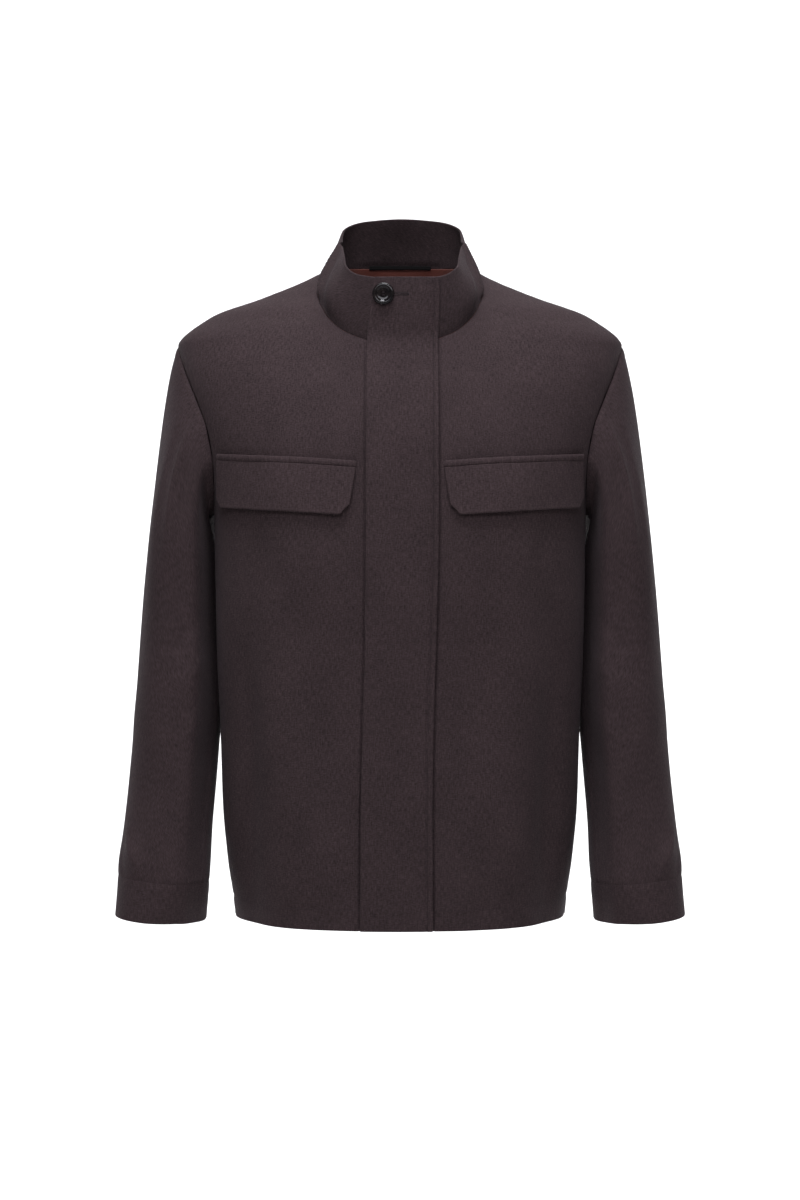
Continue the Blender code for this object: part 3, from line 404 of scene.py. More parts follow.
# Sewing
SEAM_THIN = 0.40
SEAM_THIN_REACH = 0.004
SEAM_DIP = 0.0005
SEAM_DIP_REACH = 0.0028
PUCKER = 0.00022
PUCKER_REACH = 0.009
ROLL = 0.0007
ROLL_AT = 0.0055
ROLL_REACH = 0.0035
INSET_REACH = 0.012
VISIBLE_GAP = 0.0001
SHUT_SEAM = 0.0005
UNEVEN = 0.0004
UNEVEN_REACH = 0.03
SQUARE_WAVES = (0.021, 0.034)
SLANTED_WAVES = (0.013, 0.041)
SQUARE_SHARE = 0.6
SEAM_WAVES = rows_with(
    "share length phase_share",
    (0.45, 0.0021, 1.0),
    (0.30, 0.0034, 2.1),
    (0.40, 0.0062, 0.7),
)
PUFF_EDGE = 0.002
HEM_STITCH = 0.0215
HEM_PUFF = 0.0003
PLACKET_PUFF = 0.0007
PLACKET_STITCH = 0.0058
STITCH_GROOVE = 0.0008
STITCH_GROOVE_REACH = 0.0012
EDGE_GROOVE = 0.0022
GROOVE_NECK_FADE = 0.012
POCKET_GROOVE = 0.0012
GROOVE_ASIDE = 0.0008
GROOVE_REACH = 0.0016
STITCH_LENGTH = 0.0029
STITCH_SPACE = 0.0008
THREAD_RADIUS = 0.00020
THREAD_SIDES = 6
THREAD_STEP = 0.0005
# One stitch: shares of its length, of its radius, and how far it rises out of the cloth in radii
STITCH_RINGS = rows_with(
    "share size rise",
    (0.00, 0.35, -1.30),
    (0.14, 0.85, -0.10),
    (0.50, 1.00, 0.35),
    (0.86, 0.85, -0.10),
    (1.00, 0.35, -1.30),
)
PLACKET_LIFT = 0.0032
PLACKET_LIFT_HEIGHT = 0.135
PLACKET_LIFT_SPREAD = 0.075
PLACKET_LIFT_REACH = 0.030

# Camera at the photograph's angle: the distance is assumed, the lens gives the coat its size in the picture
CAMERA_DISTANCE = 2.4
CAMERA_HEIGHT = 0.339
FOCAL_PIXELS = 2222.0
IMAGE_HEIGHT = 1200.0
SENSOR = 36.0


# Curves through tables


def course(t, start, leave, end, arrive):
    """Smooth course from start to end, with the rates at which it leaves and arrives."""
    near = (1 + 2 * t) * (1 - t) ** 2 * start + t * (1 - t) ** 2 * leave
    far = t * t * (3 - 2 * t) * end + t * t * (t - 1) * arrive
    return near + far


def between(at, places, points):
    """Points of a line at places along it."""
    return np.stack([np.interp(at, places, points[:, k]) for k in range(3)], axis=-1)


def eased(places, values, at):
    """A smooth line through the values that makes no swing of its own between them."""
    places = np.asarray(places, float)
    values = np.asarray(values, float)
    at = np.clip(at, places[0], places[-1])
    step = np.diff(places)
    slope = np.diff(values) / step
    rate = np.zeros(len(places))
    rate[0] = slope[0]
    rate[-1] = slope[-1]
    for i in range(1, len(places) - 1):
        if slope[i - 1] * slope[i] > 0:
            before = 2 * step[i] + step[i - 1]
            after = step[i] + 2 * step[i - 1]
            rate[i] = (before + after) / (before / slope[i - 1] + after / slope[i])
    i = np.clip(np.searchsorted(places, at, side="right") - 1, 0, len(step) - 1)
    t = (at - places[i]) / step[i]
    return course(t, values[i], step[i] * rate[i], values[i + 1], step[i] * rate[i + 1])


def column(table, name):
    """One named column of a table."""
    return np.array([getattr(row, name) for row in table])


def unit(vectors):
    """Vectors brought to length one."""
    return vectors / np.maximum(np.linalg.norm(vectors, axis=-1, keepdims=True), 1e-12)


def smooth(t):
    """Soft step from 0 to 1."""
    t = np.clip(t, 0.0, 1.0)
    return t * t * (3.0 - 2.0 * t)


def lengths_along(points):
    """Distance along a line of points, from its first."""
    steps = np.linalg.norm(np.diff(points, axis=0), axis=1)
    return np.concatenate(([0.0], np.cumsum(steps)))


def spaced(points, count):
    """The line of points cut into an even count of steps."""
    along = lengths_along(points)
    return between(np.linspace(0.0, along[-1], count + 1), along, points)


def mirrored(points):
    """The same points on the other side."""
    return points * np.array([-1.0, 1.0, 1.0])


# The form


def body_column(name, height):
    """One column of the body table at any height."""
    return eased(column(BODY, "height"), column(BODY, name), height)


def shape_at(points):
    """Half width, depth and squareness of the form where each point is."""
    height = points[..., 2]
    before = points[..., 1] < 0
    width = body_column("half_width", height)
    depth = np.where(before, body_column("front_depth", height), body_column("back_depth", height))
    power = np.where(before, body_column("front_power", height), body_column("back_power", height))
    return width, depth, power


def form_value(points):
    """Below zero inside the form, above zero outside."""
    width, depth, power = shape_at(points)
    return (np.abs(points[..., 0]) / width) ** power + (np.abs(points[..., 1]) / depth) ** power - 1.0


def form_slope(points):
    """Gradient of the form's value."""
    reach = 1e-5
    parts = []
    for k in range(3):
        move = np.zeros(3)
        move[k] = reach
        parts.append((form_value(points + move) - form_value(points - move)) / (2 * reach))
    return np.stack(parts, axis=-1)


def on_form(points, rounds=FORM_ROUNDS):
    """Points moved on to the form along its slope."""
    points = np.array(points, float)
    for _ in range(rounds):
        slope = form_slope(points)
        away = form_value(points) / np.maximum((slope**2).sum(-1), 1e-12)
        points = points - FORM_STEP * away[..., None] * slope
    return points


def form_normal(points):
    """Outward direction of the form."""
    return unit(form_slope(points))


def front_line(x, height):
    """Point of the form's front at a distance from the centre line."""
    x = np.asarray(x, float)
    height = np.asarray(height, float) + 0 * x
    width = body_column("half_width", height)
    power = body_column("front_power", height)
    rest = np.maximum(1.0 - (np.abs(x) / width) ** power, 0.0)
    y = -body_column("front_depth", height) * rest ** (1.0 / power)
    return np.stack([x, y, height], axis=-1)


def side_point(swing, height):
    """Point of the form's left side, a swing before (minus) or behind the side line."""
    swing = np.asarray(swing, float)
    points = np.stack([0 * swing, swing, np.asarray(height, float)], axis=-1)
    width, depth, power = shape_at(points)
    points[..., 0] = width * (1.0 - (np.abs(swing) / depth) ** power) ** (1.0 / power)
    return points


# Folds and creases


def fold_height(points, face):
    """How far the large folds lift the cloth at each point of the front or the back."""
    lift = np.zeros(points.shape[:-1])
    for fold in FOLDS:
        if fold.face != face:
            continue
        share = np.clip((fold.top - points[..., 2]) / (fold.top - fold.bottom), 0.0, 1.0)
        x = fold.x_top + share * (fold.x_bottom - fold.x_top)
        across = np.exp(-(((points[..., 0] - x) / fold.half_width) ** 2))
        lift += fold.height * across * np.sin(pi * share) ** 2
    return lift


def along_crease(across, up, start, end, half_width):
    """Soft ridge of height one along a straight line between two places."""
    run = np.array(end) - np.array(start)
    size = np.hypot(*run)
    along = ((across - start[0]) * run[0] + (up - start[1]) * run[1]) / size**2
    aside = ((across - start[0]) * run[1] - (up - start[1]) * run[0]) / size
    along = np.clip(along, 0.0, 1.0)
    width = half_width * (CREASE_START_WIDTH + CREASE_WIDENING * along)
    return np.exp(-((aside / width) ** 2)) * np.sin(pi * along) ** CREASE_FADE_POWER


def crease_height(points, face):
    """How far the finer creases lift the cloth of the front or the back."""
    lift = np.zeros(points.shape[:-1])
    for crease in CREASES:
        if crease.face != face:
            continue
        start = (crease.x_from, crease.from_height)
        end = (crease.x_to, crease.to_height)
        ridge = along_crease(points[..., 0], points[..., 2], start, end, crease.half_width)
        lift += crease.height * ridge
    return lift


def sleeve_lift(turn, height):
    """How far folds and creases lift the sleeve at a turn and a height."""
    lift = 0.0 * (turn + height)
    for fold in SLEEVE_FOLDS:
        across = ((turn - fold.turn) / fold.turn_spread) ** 2
        down = ((height - fold.height) / fold.height_spread) ** 2
        lift = lift + fold.swell * np.exp(-across - down)
    for crease in SLEEVE_CREASES:
        start = (crease.turn_from * SLEEVE_GIRTH, crease.from_height)
        end = (crease.turn_to * SLEEVE_GIRTH, crease.to_height)
        ridge = along_crease(turn * SLEEVE_GIRTH, height, start, end, crease.half_width)
        lift = lift + crease.height * ridge
    return lift


def uneven(u, v, phase):
    """Slow unevenness of hanging cloth, between about -1 and 1."""
    square = np.sin(u / SQUARE_WAVES[0] + phase) * np.sin(v / SQUARE_WAVES[1] + 1.7 * phase)
    slanted = np.sin(u / SLANTED_WAVES[0] - v / SLANTED_WAVES[1] + 2.3 * phase)
    return SQUARE_SHARE * square + (1.0 - SQUARE_SHARE) * slanted


def wobble(along, phase):
    """Uneven small waves along a seam, between about -1 and 1."""
    return sum(wave.share * np.sin(along / wave.length + wave.phase_share * phase) for wave in SEAM_WAVES)


# Cut edges of the body


def armhole(table, sign, count=ARMHOLE_ROWS):
    """Armhole edge of the left side, from the underarm to the shoulder tip."""
    swing = column(table, "swing")
    height = column(table, "height")
    along = lengths_along(np.stack([swing, height, 0 * swing], axis=1))
    at = np.linspace(0.0, along[-1], LINE_SAMPLES)
    edge = side_point(sign * eased(along, swing, at), eased(along, height, at))
    return spaced(edge, count)


def neck_lines():
    """Neck seam and collar top on the left side, front centre to back centre, finely."""
    places = np.arange(len(NECK), dtype=float)
    at = np.linspace(0.0, places[-1], NECK_SAMPLES)
    base, top = (
        np.stack([eased(places, column(NECK, f"{line}_{k}"), at) for k in ("x", "y", "height")], axis=1)
        for line in ("base", "top")
    )
    return at, on_form(base), top


NECK_LINES = neck_lines()


def neck_samples():
    """Places along the neck table where the panels' columns meet the neck, front then back."""
    at, base, _ = NECK_LINES
    along = lengths_along(base)
    shoulder = np.interp(SHOULDER_POINT, at, along)
    front_half = at < SHOULDER_POINT / 2
    start = np.interp(PLACKET_AT_NECK, base[front_half, 0], along[front_half])
    front = np.interp(np.linspace(start, shoulder, FRONT_NECK_COLUMNS + 1), along, at)
    back = np.interp(np.linspace(shoulder, along[-1], BACK_NECK_HALF + 1), along, at)
    return front, back


def at_neck(places, which):
    """Neck seam (0) or collar top (1) points at places along the neck table, left side."""
    at, base, top = NECK_LINES
    return between(places, at, (base, top)[which])


def neck_at_x(x, which):
    """Neck seam or collar top point at a distance from the front centre."""
    line = NECK_LINES[1 + which]
    first = int(np.argmax(line[:, 0]))
    point = between(abs(x), line[:first, 0], line[:first])
    point[0] = x
    return point


def back_neck(x):
    """Neck seam points behind the shoulders, at distances from the back centre."""
    at, base, _ = NECK_LINES
    rear = base[at >= SHOULDER_POINT][::-1]
    points = between(np.abs(x), rear[:, 0], rear)
    points[:, 0] = x
    return points


def band_edge(share, height):
    """Distance from the centre line of a share of the placket's width."""
    places = column(PLACKET, "height")
    free = eased(places, column(PLACKET, "free_edge"), height)
    sewn = eased(places, column(PLACKET, "sewn_edge"), height)
    return free + share * (sewn - free)


def band_column(share, shares_up):
    """A column of a front under the placket, at shares of the way from the hem to the neck seam."""
    height = NECK[0].base_height
    for _ in range(BAND_ROUNDS):
        height = neck_at_x(band_edge(share, height), 0)[2]
    heights = np.asarray(shares_up) * height
    return front_line(band_edge(share, heights), heights)


# Grids of the panels


def filled(low, high, first, last):
    """Grid between four edges, eased until it is even, on the form. Rows run from low to high."""
    rows = len(first)
    columns = len(low)
    s = np.linspace(0, 1, columns)[None, :, None]
    t = np.linspace(0, 1, rows)[:, None, None]
    across = (1 - s) * first[:, None] + s * last[:, None]
    along = (1 - t) * low[None] + t * high[None]
    corners = (1 - s) * (1 - t) * low[0] + s * (1 - t) * low[-1] + (1 - s) * t * high[0] + s * t * high[-1]
    grid = across + along - corners
    inner = (slice(1, -1), slice(1, -1))
    grid[inner] = on_form(grid[inner])
    for _ in range(EVEN_ROUNDS):
        mean = grid[:-2, 1:-1] + grid[2:, 1:-1] + grid[1:-1, :-2] + grid[1:-1, 2:]
        grid[inner] = on_form(0.5 * grid[inner] + 0.125 * mean, TOUCH_UP_ROUNDS)
    return grid


def hem_line(x_from, sign, count):
    """Hem from a distance from the centre to the side line, before (-1) or behind (+1)."""
    turns = np.linspace(0.0, pi / 2, ROUND_SAMPLES)
    width, depth, power = shape_at(np.array([0.0, sign * 0.1, 0.0]))
    x = width * np.sin(turns) ** (2.0 / power)
    y = sign * depth * np.cos(turns) ** (2.0 / power)
    line = np.stack([x, y, 0 * x], axis=1)
    line[-1] = (width, 0.0, 0.0)
    along = lengths_along(line)
    wanted = np.linspace(np.interp(x_from, line[:, 0], along), along[-1], count + 1)
    return between(wanted, along, line)


def side_edge(table, sign):
    """Side seam and armhole of the left side, hem to shoulder tip."""
    heights = np.linspace(0.0, UNDERARM_HEIGHT, SIDE_ROWS + 1)
    seam = side_point(0 * heights, heights)
    return np.concatenate([seam[:-1], armhole(table, sign)])


def shoulder_edge():
    """Shoulder seam of the left side, from the neck to the tip."""
    heights = np.linspace(NECK_HEIGHT, SHOULDER_TIP_HEIGHT, SHOULDER_SAMPLES)
    return spaced(side_point(0 * heights, heights), SHOULDER_COLUMNS)


def front_grid(shares, side):
    """Rough grid of one front, with the columns under the placket first."""
    shares_up = np.linspace(0.0, 1.0, SIDE_ROWS + ARMHOLE_ROWS + 1)
    columns = [band_column(share, shares_up) for share in shares]
    if side < 0:
        columns = [mirrored(points) for points in columns]
    last_column = columns[-1]
    front, _ = neck_samples()
    neck = at_neck(front, 0)
    neck[0] = last_column[-1]
    neck[-1] = side_point(np.array(0.0), np.array(NECK_HEIGHT))
    top = np.concatenate([neck[:-1], shoulder_edge()])
    hem = hem_line(last_column[0, 0], -1, FRONT_NECK_COLUMNS + SHOULDER_COLUMNS)
    hem[0] = last_column[0]
    main = filled(hem, top, last_column, side_edge(FRONT_ARMHOLE, -1))
    grid = np.concatenate([np.stack(columns[:-1], axis=1), main], axis=1)
    return mirrored(grid) if side < 0 else grid


def back_grid():
    """Rough grid of the back, from the left side to the right side."""
    _, back = neck_samples()
    neck = at_neck(back, 0)
    neck[0] = side_point(np.array(0.0), np.array(NECK_HEIGHT))
    half_top = np.concatenate([shoulder_edge()[::-1][:-1], neck])
    half_hem = hem_line(0.0, 1, SHOULDER_COLUMNS + BACK_NECK_HALF)[::-1]
    half_top[-1, 0] = 0.0
    top = np.concatenate([half_top, mirrored(half_top[::-1])[1:]])
    hem = np.concatenate([half_hem, mirrored(half_hem[::-1])[1:]])
    side = side_edge(BACK_ARMHOLE, 1)
    return filled(hem, top, side, mirrored(side))


def fine_places(first, last, fine=FINE):
    """Places between two rough steps, closer together near both ends."""
    even = np.linspace(first, last, (last - first) * fine + 1)
    near = np.array(CLOSE_TO_EDGE)
    return np.unique(np.round(np.concatenate([even, first + near, last - near]), 6))


def refined(points, at, breaks=()):
    """Points along the first axis at places between its rough steps, smooth but for the breaks."""
    ends = sorted({0, len(points) - 1, *breaks})
    made = np.zeros((len(at),) + points.shape[1:])
    for low, high in zip(ends[:-1], ends[1:]):
        block = points[low : high + 1]
        rate = np.gradient(block, axis=0, edge_order=2 if len(block) > 2 else 1)
        inside = (at >= low) & (at <= high)
        step = np.clip(np.floor(at[inside] - low).astype(int), 0, high - low - 1)
        t = (at[inside] - low - step).reshape((-1,) + (1,) * (points.ndim - 1))
        made[inside] = course(t, block[step], rate[step], block[step + 1], rate[step + 1])
    return made


def fine_grid(rough, rows, columns, column_breaks):
    """A rough body grid at fine places, on the form."""
    grid = refined(rough, rows, (SIDE_ROWS,))
    grid = refined(grid.swapaxes(0, 1), columns, column_breaks).swapaxes(0, 1)
    return on_form(grid, TOUCH_UP_ROUNDS)


def grid_normal(grid):
    """Direction square to a grid, from its neighbours."""
    return unit(np.cross(np.gradient(grid, axis=1), np.gradient(grid, axis=0)))


# The sleeve as one surface: columns run round it from the underarm, rows from the armhole down


def ring_point(turns, height):
    """Points of the left sleeve at a height; turn 0 is the inside, 0.25 the front, 0.5 the outside."""
    places = column(SLEEVE, "height")[::-1]

    def size(name):
        return eased(places, column(SLEEVE, name)[::-1], height)

    angle = 2 * pi * turns
    power = 2.0 / size("power")
    out = -np.sign(np.cos(angle)) * np.abs(np.cos(angle)) ** power
    ahead = -np.sign(np.sin(angle)) * np.abs(np.sin(angle)) ** power
    x = size("centre_x") + size("half_width") * out
    y = size("centre_y") + size("half_depth") * ahead
    z = height + size("rise") * size("half_width") * out
    x = np.maximum(x, side_point(y, z)[..., 0] + SLEEVE_CLEAR)
    return np.stack([x, y, z], axis=-1)


def sleeve_turns():
    """Turns of the sleeve's rough columns, evenly spread round the biceps."""
    fine = np.linspace(0.0, 1.0, LINE_SAMPLES + 1)
    along = lengths_along(ring_point(fine, BICEPS_HEIGHT + 0 * fine))
    half = np.interp(0.5, fine, along)
    front = np.interp(np.linspace(0.0, half, ARMHOLE_ROWS + 1), along, fine)
    back = np.interp(np.linspace(half, along[-1], ARMHOLE_ROWS + 1), along, fine)
    return np.concatenate([front, back[1:]])


SLEEVE_TURNS = sleeve_turns()
SLEEVE_COLUMNS = 2 * ARMHOLE_ROWS
ARMHOLE_LINES = (armhole(FRONT_ARMHOLE, -1, ARMHOLE_STEPS), armhole(BACK_ARMHOLE, 1, ARMHOLE_STEPS))


def turn_of(columns):
    """Turn of each sleeve column."""
    return np.interp(columns, np.arange(SLEEVE_COLUMNS + 1), SLEEVE_TURNS)


def armhole_at(columns):
    """Armhole point where each sleeve column starts."""
    share = np.where(columns <= ARMHOLE_ROWS, columns, SLEEVE_COLUMNS - columns) / ARMHOLE_ROWS
    at = np.linspace(0.0, 1.0, len(ARMHOLE_LINES[0]))
    front, back = (between(share, at, line) for line in ARMHOLE_LINES)
    return np.where((columns <= ARMHOLE_ROWS)[:, None], front, back)


def sleeve_surface(columns, rows):
    """Left sleeve at places round it and down it, without folds."""
    columns = np.mod(columns, SLEEVE_COLUMNS)
    turns = turn_of(columns)
    start = armhole_at(columns)
    biceps = ring_point(turns, BICEPS_HEIGHT + 0 * turns)
    below = ring_point(turns, BICEPS_HEIGHT - BELOW_BICEPS + 0 * turns)
    out, forward, up, reach = (
        eased(column(CAP, "turn"), column(CAP, name), columns / SLEEVE_COLUMNS)
        for name in ("out", "forward", "up", "reach")
    )
    span = np.linalg.norm(biceps - start, axis=1)[:, None]
    leave = unit(np.stack([out, -forward, up], axis=1)) * span * reach[:, None]
    arrive = unit(below - biceps) * span * CAP_END_REACH
    row_ends = (CAP_ROWS, CAP_ROWS + SLEEVE_ROWS, CAP_ROWS + SLEEVE_ROWS + CUFF_ROWS)
    heights = np.interp(rows, row_ends, (BICEPS_HEIGHT, CUFF_SEAM_HEIGHT, CUFF_END_HEIGHT))
    made = []
    for row, height in zip(rows, heights):
        if row >= CAP_ROWS:
            made.append(ring_point(turns, height + 0 * turns))
            continue
        made.append(course(row / CAP_ROWS, start, leave, biceps, arrive))
    return np.stack(made)


def facing_out(surface, columns, rows):
    """Outward directions of a surface over places round the sleeve and down it."""
    last_row = CAP_ROWS + SLEEVE_ROWS + CUFF_ROWS
    round_it = surface(columns + FACING_STEP, rows) - surface(columns - FACING_STEP, rows)
    below = surface(columns, np.minimum(rows + FACING_STEP, last_row))
    above = surface(columns, np.maximum(rows - FACING_STEP, 0.0))
    return unit(np.cross(below - above, round_it))


def folded_sleeve(columns, rows):
    """Outer face of the left sleeve with its folds, the inner side and the cuff turned back."""
    base = sleeve_surface(columns, rows)
    out = facing_out(sleeve_surface, columns, rows)
    round_it = np.mod(columns, SLEEVE_COLUMNS)
    turns = turn_of(round_it)
    fade = np.clip((armhole_at(round_it)[None, :, 2] - base[..., 2]) / FOLD_FADE, 0, 1)
    seam_row = CAP_ROWS + SLEEVE_ROWS
    share = np.interp(rows, (seam_row - 1, seam_row), (1.0, CUFF_FOLD_SHARE))[:, None]
    made = base + (sleeve_lift(turns[None, :], base[..., 2]) * fade * share)[..., None] * out
    inner_turns = np.where(turns > 0.5, turns - 1.0, turns)
    behind = 1.0 - smooth(-inner_turns / INNER_REAR_SPREAD)
    inner = behind * smooth((INNER_FROM_TURN - inner_turns) / INNER_TURN_SPREAD)
    cuff_inner = behind * smooth((CUFF_FROM_TURN - inner_turns) / CUFF_TURN_SPREAD)
    cuff_down = np.clip((CUFF_SEAM_HEIGHT - base[..., 2]) / (CUFF_SEAM_HEIGHT - CUFF_END_HEIGHT), 0.0, 1.0)
    above_cuff = np.interp(base[..., 2], (CUFF_SEAM_HEIGHT, INNER_FULL_HEIGHT), (INNER_CUFF_SHARE, 1.0))
    made[..., 1] += INNER_BACK * inner[None, :] * fade * above_cuff
    made[..., 1] += CUFF_BACK * cuff_inner[None, :] * cuff_down
    return made


def sleeve_piece(columns, rows):
    """Outer grid of a stretch of the left sleeve, and its outward directions."""
    return folded_sleeve(columns, rows), facing_out(folded_sleeve, columns, rows)


# Shells


def edge_distances(grid):
    """How far each point of a grid is from each edge, along the grid's lines."""
    up = np.cumsum(np.linalg.norm(np.diff(grid, axis=0), axis=2), axis=0)
    low = np.concatenate([np.zeros((1, grid.shape[1])), up])
    over = np.cumsum(np.linalg.norm(np.diff(grid, axis=1), axis=2), axis=1)
    first = np.concatenate([np.zeros((grid.shape[0], 1)), over], axis=1)
    return {"low": low, "high": low[-1:] - low, "first": first, "last": first[:, -1:] - first}


def drawn_in(grid, edge, amount):
    """The grid with one edge drawn in, the points near it following."""
    axis = 0 if edge in ("low", "high") else 1
    sign = 1.0 if edge in ("low", "first") else -1.0
    inward = sign * unit(np.gradient(grid, axis=axis))
    share = np.clip(1.0 - edge_distances(grid)[edge] / INSET_REACH, 0.0, 1.0)
    return grid + (amount * share)[..., None] * inward


def finished(points, faces, uv, name, surface):
    """A mesh object from points in heights above the hem, faces and flat cloth places."""
    mesh = bpy.data.meshes.new(name)
    placed = np.asarray(points) - np.array([0.0, 0.0, NECK_HEIGHT])
    mesh.from_pydata(placed.tolist(), [], faces)
    build = bmesh.new()
    build.from_mesh(mesh)
    bmesh.ops.recalc_face_normals(build, faces=build.faces)
    build.to_mesh(mesh)
    build.free()
    if uv is not None:
        layer = mesh.uv_layers.new(name="cloth")
        corners = np.zeros(len(mesh.loops), dtype=np.int32)
        mesh.loops.foreach_get("vertex_index", corners)
        layer.data.foreach_set("uv", np.asarray(uv)[corners].astype(np.float32).ravel())
    mesh.shade_smooth()
    mesh.materials.append(surface)
    made = bpy.data.objects.new(name, mesh)
    bpy.context.scene.collection.objects.link(made)
    return made


def shell(name, outer, out, thick, surface):
    """A closed cloth wall with round edges under an outer grid."""
    thick = np.broadcast_to(np.asarray(thick, float), outer.shape[:2])
    inner = outer - thick[..., None] * out
    rows, columns = outer.shape[:2]
    count = rows * columns
    index = np.arange(count).reshape(rows, columns)
    skin = np.stack([index[:-1, :-1], index[:-1, 1:], index[1:, 1:], index[1:, :-1]], axis=-1).reshape(-1, 4)
    quads = [skin, skin[:, ::-1] + count]
    away = np.zeros_like(outer)
    away[0] += unit(outer[0] - outer[1])
    away[-1] += unit(outer[-1] - outer[-2])
    away[:, 0] += unit(outer[:, 0] - outer[:, 1])
    away[:, -1] += unit(outer[:, -1] - outer[:, -2])
    loop = np.concatenate([index[0, :-1], index[:-1, -1], index[-1, :0:-1], index[:0:-1, 0]])
    flat_outer = outer.reshape(-1, 3)
    flat_inner = inner.reshape(-1, 3)
    middle = 0.5 * (flat_outer[loop] + flat_inner[loop])
    half = 0.5 * (flat_outer[loop] - flat_inner[loop])
    reach = unit(away.reshape(-1, 3)[loop]) * np.linalg.norm(half, axis=1, keepdims=True)
    distances = edge_distances(outer)
    cloth_places = np.stack([distances["first"], distances["low"]], axis=-1).reshape(-1, 2)
    points = [flat_outer, flat_inner]
    uv = [cloth_places, cloth_places]
    rings = [loop]
    for k in range(1, RIM_STEPS):
        angle = pi * k / RIM_STEPS
        rings.append(np.arange(len(loop)) + 2 * count + (k - 1) * len(loop))
        points.append(middle + cos(angle) * half + sin(angle) * reach)
        uv.append(cloth_places[loop])
    rings.append(loop + count)
    for near, far in zip(rings[:-1], rings[1:]):
        quads.append(np.stack([near, far, np.roll(far, -1), np.roll(near, -1)], axis=-1))
    faces = np.concatenate(quads).tolist()
    return finished(np.concatenate(points), faces, np.concatenate(uv), name, surface)


def sewn(name, grid, out, thick, surface, seams=(), rolls=(), stitch=None, phase=0.0, shut=()):
    """A cloth shell with dipped seams, rolled seams, an optional stitched line and slow unevenness."""
    distances = edge_distances(grid)
    lift = np.zeros(grid.shape[:2])
    wall = np.full(grid.shape[:2], float(thick))
    clear = np.full(grid.shape[:2], np.inf)
    for edge in seams:
        d = distances[edge]
        along = distances["first"] if edge in ("low", "high") else distances["low"]
        lift -= SEAM_DIP * np.exp(-((d / SEAM_DIP_REACH) ** 2))
        lift += PUCKER * np.exp(-d / PUCKER_REACH) * wobble(along, phase + len(edge))
        wall *= 1.0 - (1.0 - SEAM_THIN) * np.exp(-((d / SEAM_THIN_REACH) ** 2))
        clear = np.minimum(clear, d)
    for edge in rolls:
        lift += ROLL * np.exp(-(((distances[edge] - ROLL_AT) / ROLL_REACH) ** 2))
    if stitch is not None:
        edge, at, puff = stitch
        d = distances[edge]
        lift -= STITCH_GROOVE * np.exp(-(((d - at) / STITCH_GROOVE_REACH) ** 2))
        lift += puff * smooth((at - d) / PUFF_EDGE + 0.5)
    fade = smooth(clear / UNEVEN_REACH)
    lift += UNEVEN * fade * uneven(distances["first"], distances["low"], phase)
    grid = grid + lift[..., None] * out
    for edge in ("low", "high", "first", "last"):
        edge_wall = thick * SEAM_THIN if edge in seams else thick
        gap = -SHUT_SEAM if edge in shut else VISIBLE_GAP if edge in seams else 0.0
        grid = drawn_in(grid, edge, 0.5 * edge_wall + 0.5 * gap)
    return shell(name, grid, out, wall, surface), grid


def kept(piece, node):
    """A piece that rides on the coat and stands for a node."""
    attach(piece, "root")
    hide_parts(node)


def panel(node, grid, out, thick, surface, held, rests_on, layers=1, **sewing):
    """A sewn piece of wool that stands for a node. Gives its face."""
    piece, face = sewn(f"cloth_{node}", grid, out, thick, surface, **sewing)
    kept(piece, node)
    return face


# Thread


def thread_run(line, out):
    """Points and faces of a row of stitches along a line on the cloth."""
    along = lengths_along(line)
    starts = np.arange(0.0, along[-1] - STITCH_LENGTH, STITCH_LENGTH + STITCH_SPACE)
    return bars(line, out, along, starts, STITCH_LENGTH, THREAD_RADIUS)


def bars(line, out, along, starts, length, radius):
    """Short thread bars laid along a line, their ends sunk in the cloth."""
    sides = THREAD_SIDES
    points = []
    faces = []
    for start in starts:
        base = len(points)
        for share, size, rise in STITCH_RINGS:
            at = start + share * length
            up = unit(between(at, along, out))
            ahead = between(at + THREAD_STEP, along, line)
            behind = between(at - THREAD_STEP, along, line)
            aside = unit(np.cross(up, ahead - behind))
            centre = between(at, along, line) + rise * radius * up
            for k in range(sides):
                angle = 2 * pi * k / sides
                points.append(centre + size * radius * (cos(angle) * aside + sin(angle) * up))
        for ring in range(len(STITCH_RINGS) - 1):
            for k in range(sides):
                a = base + ring * sides + k
                b = base + ring * sides + (k + 1) % sides
                faces.append((a, b, b + sides, a + sides))
        faces.append(tuple(base + k for k in reversed(range(sides))))
        faces.append(tuple(base + (len(STITCH_RINGS) - 1) * sides + k for k in range(sides)))
    return points, faces


def one_bar(start, end, facing, length, radius):
    """A single thread bar from one point towards another."""
    line = np.stack([start, end])
    return bars(line, np.stack([facing, facing]), lengths_along(line), [0.0], length, radius)


def joined(name, runs):
    """One piece from several runs of thread."""
    points = []
    faces = []
    for run_points, run_faces in runs:
        base = len(points)
        points.extend(run_points)
        faces.extend(tuple(base + k for k in face) for face in run_faces)
    made = finished(np.array(points), faces, None, name, thread)
    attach(made, "root")


def line_in(grid, out, edge, distance):
    """A line on a grid at a distance from one edge, and its outward directions."""
    d = edge_distances(grid)[edge]
    if edge in ("first", "last"):
        grid, out, d = grid.swapaxes(0, 1), out.swapaxes(0, 1), d.T
    if edge in ("high", "last"):
        grid, out, d = grid[::-1], out[::-1], d[::-1]
    columns = range(grid.shape[1])
    line = np.array([between(distance, d[:, j], grid[:, j]) for j in columns])
    ways = np.array([between(distance, d[:, j], out[:, j]) for j in columns])
    return line, unit(ways)


# Materials

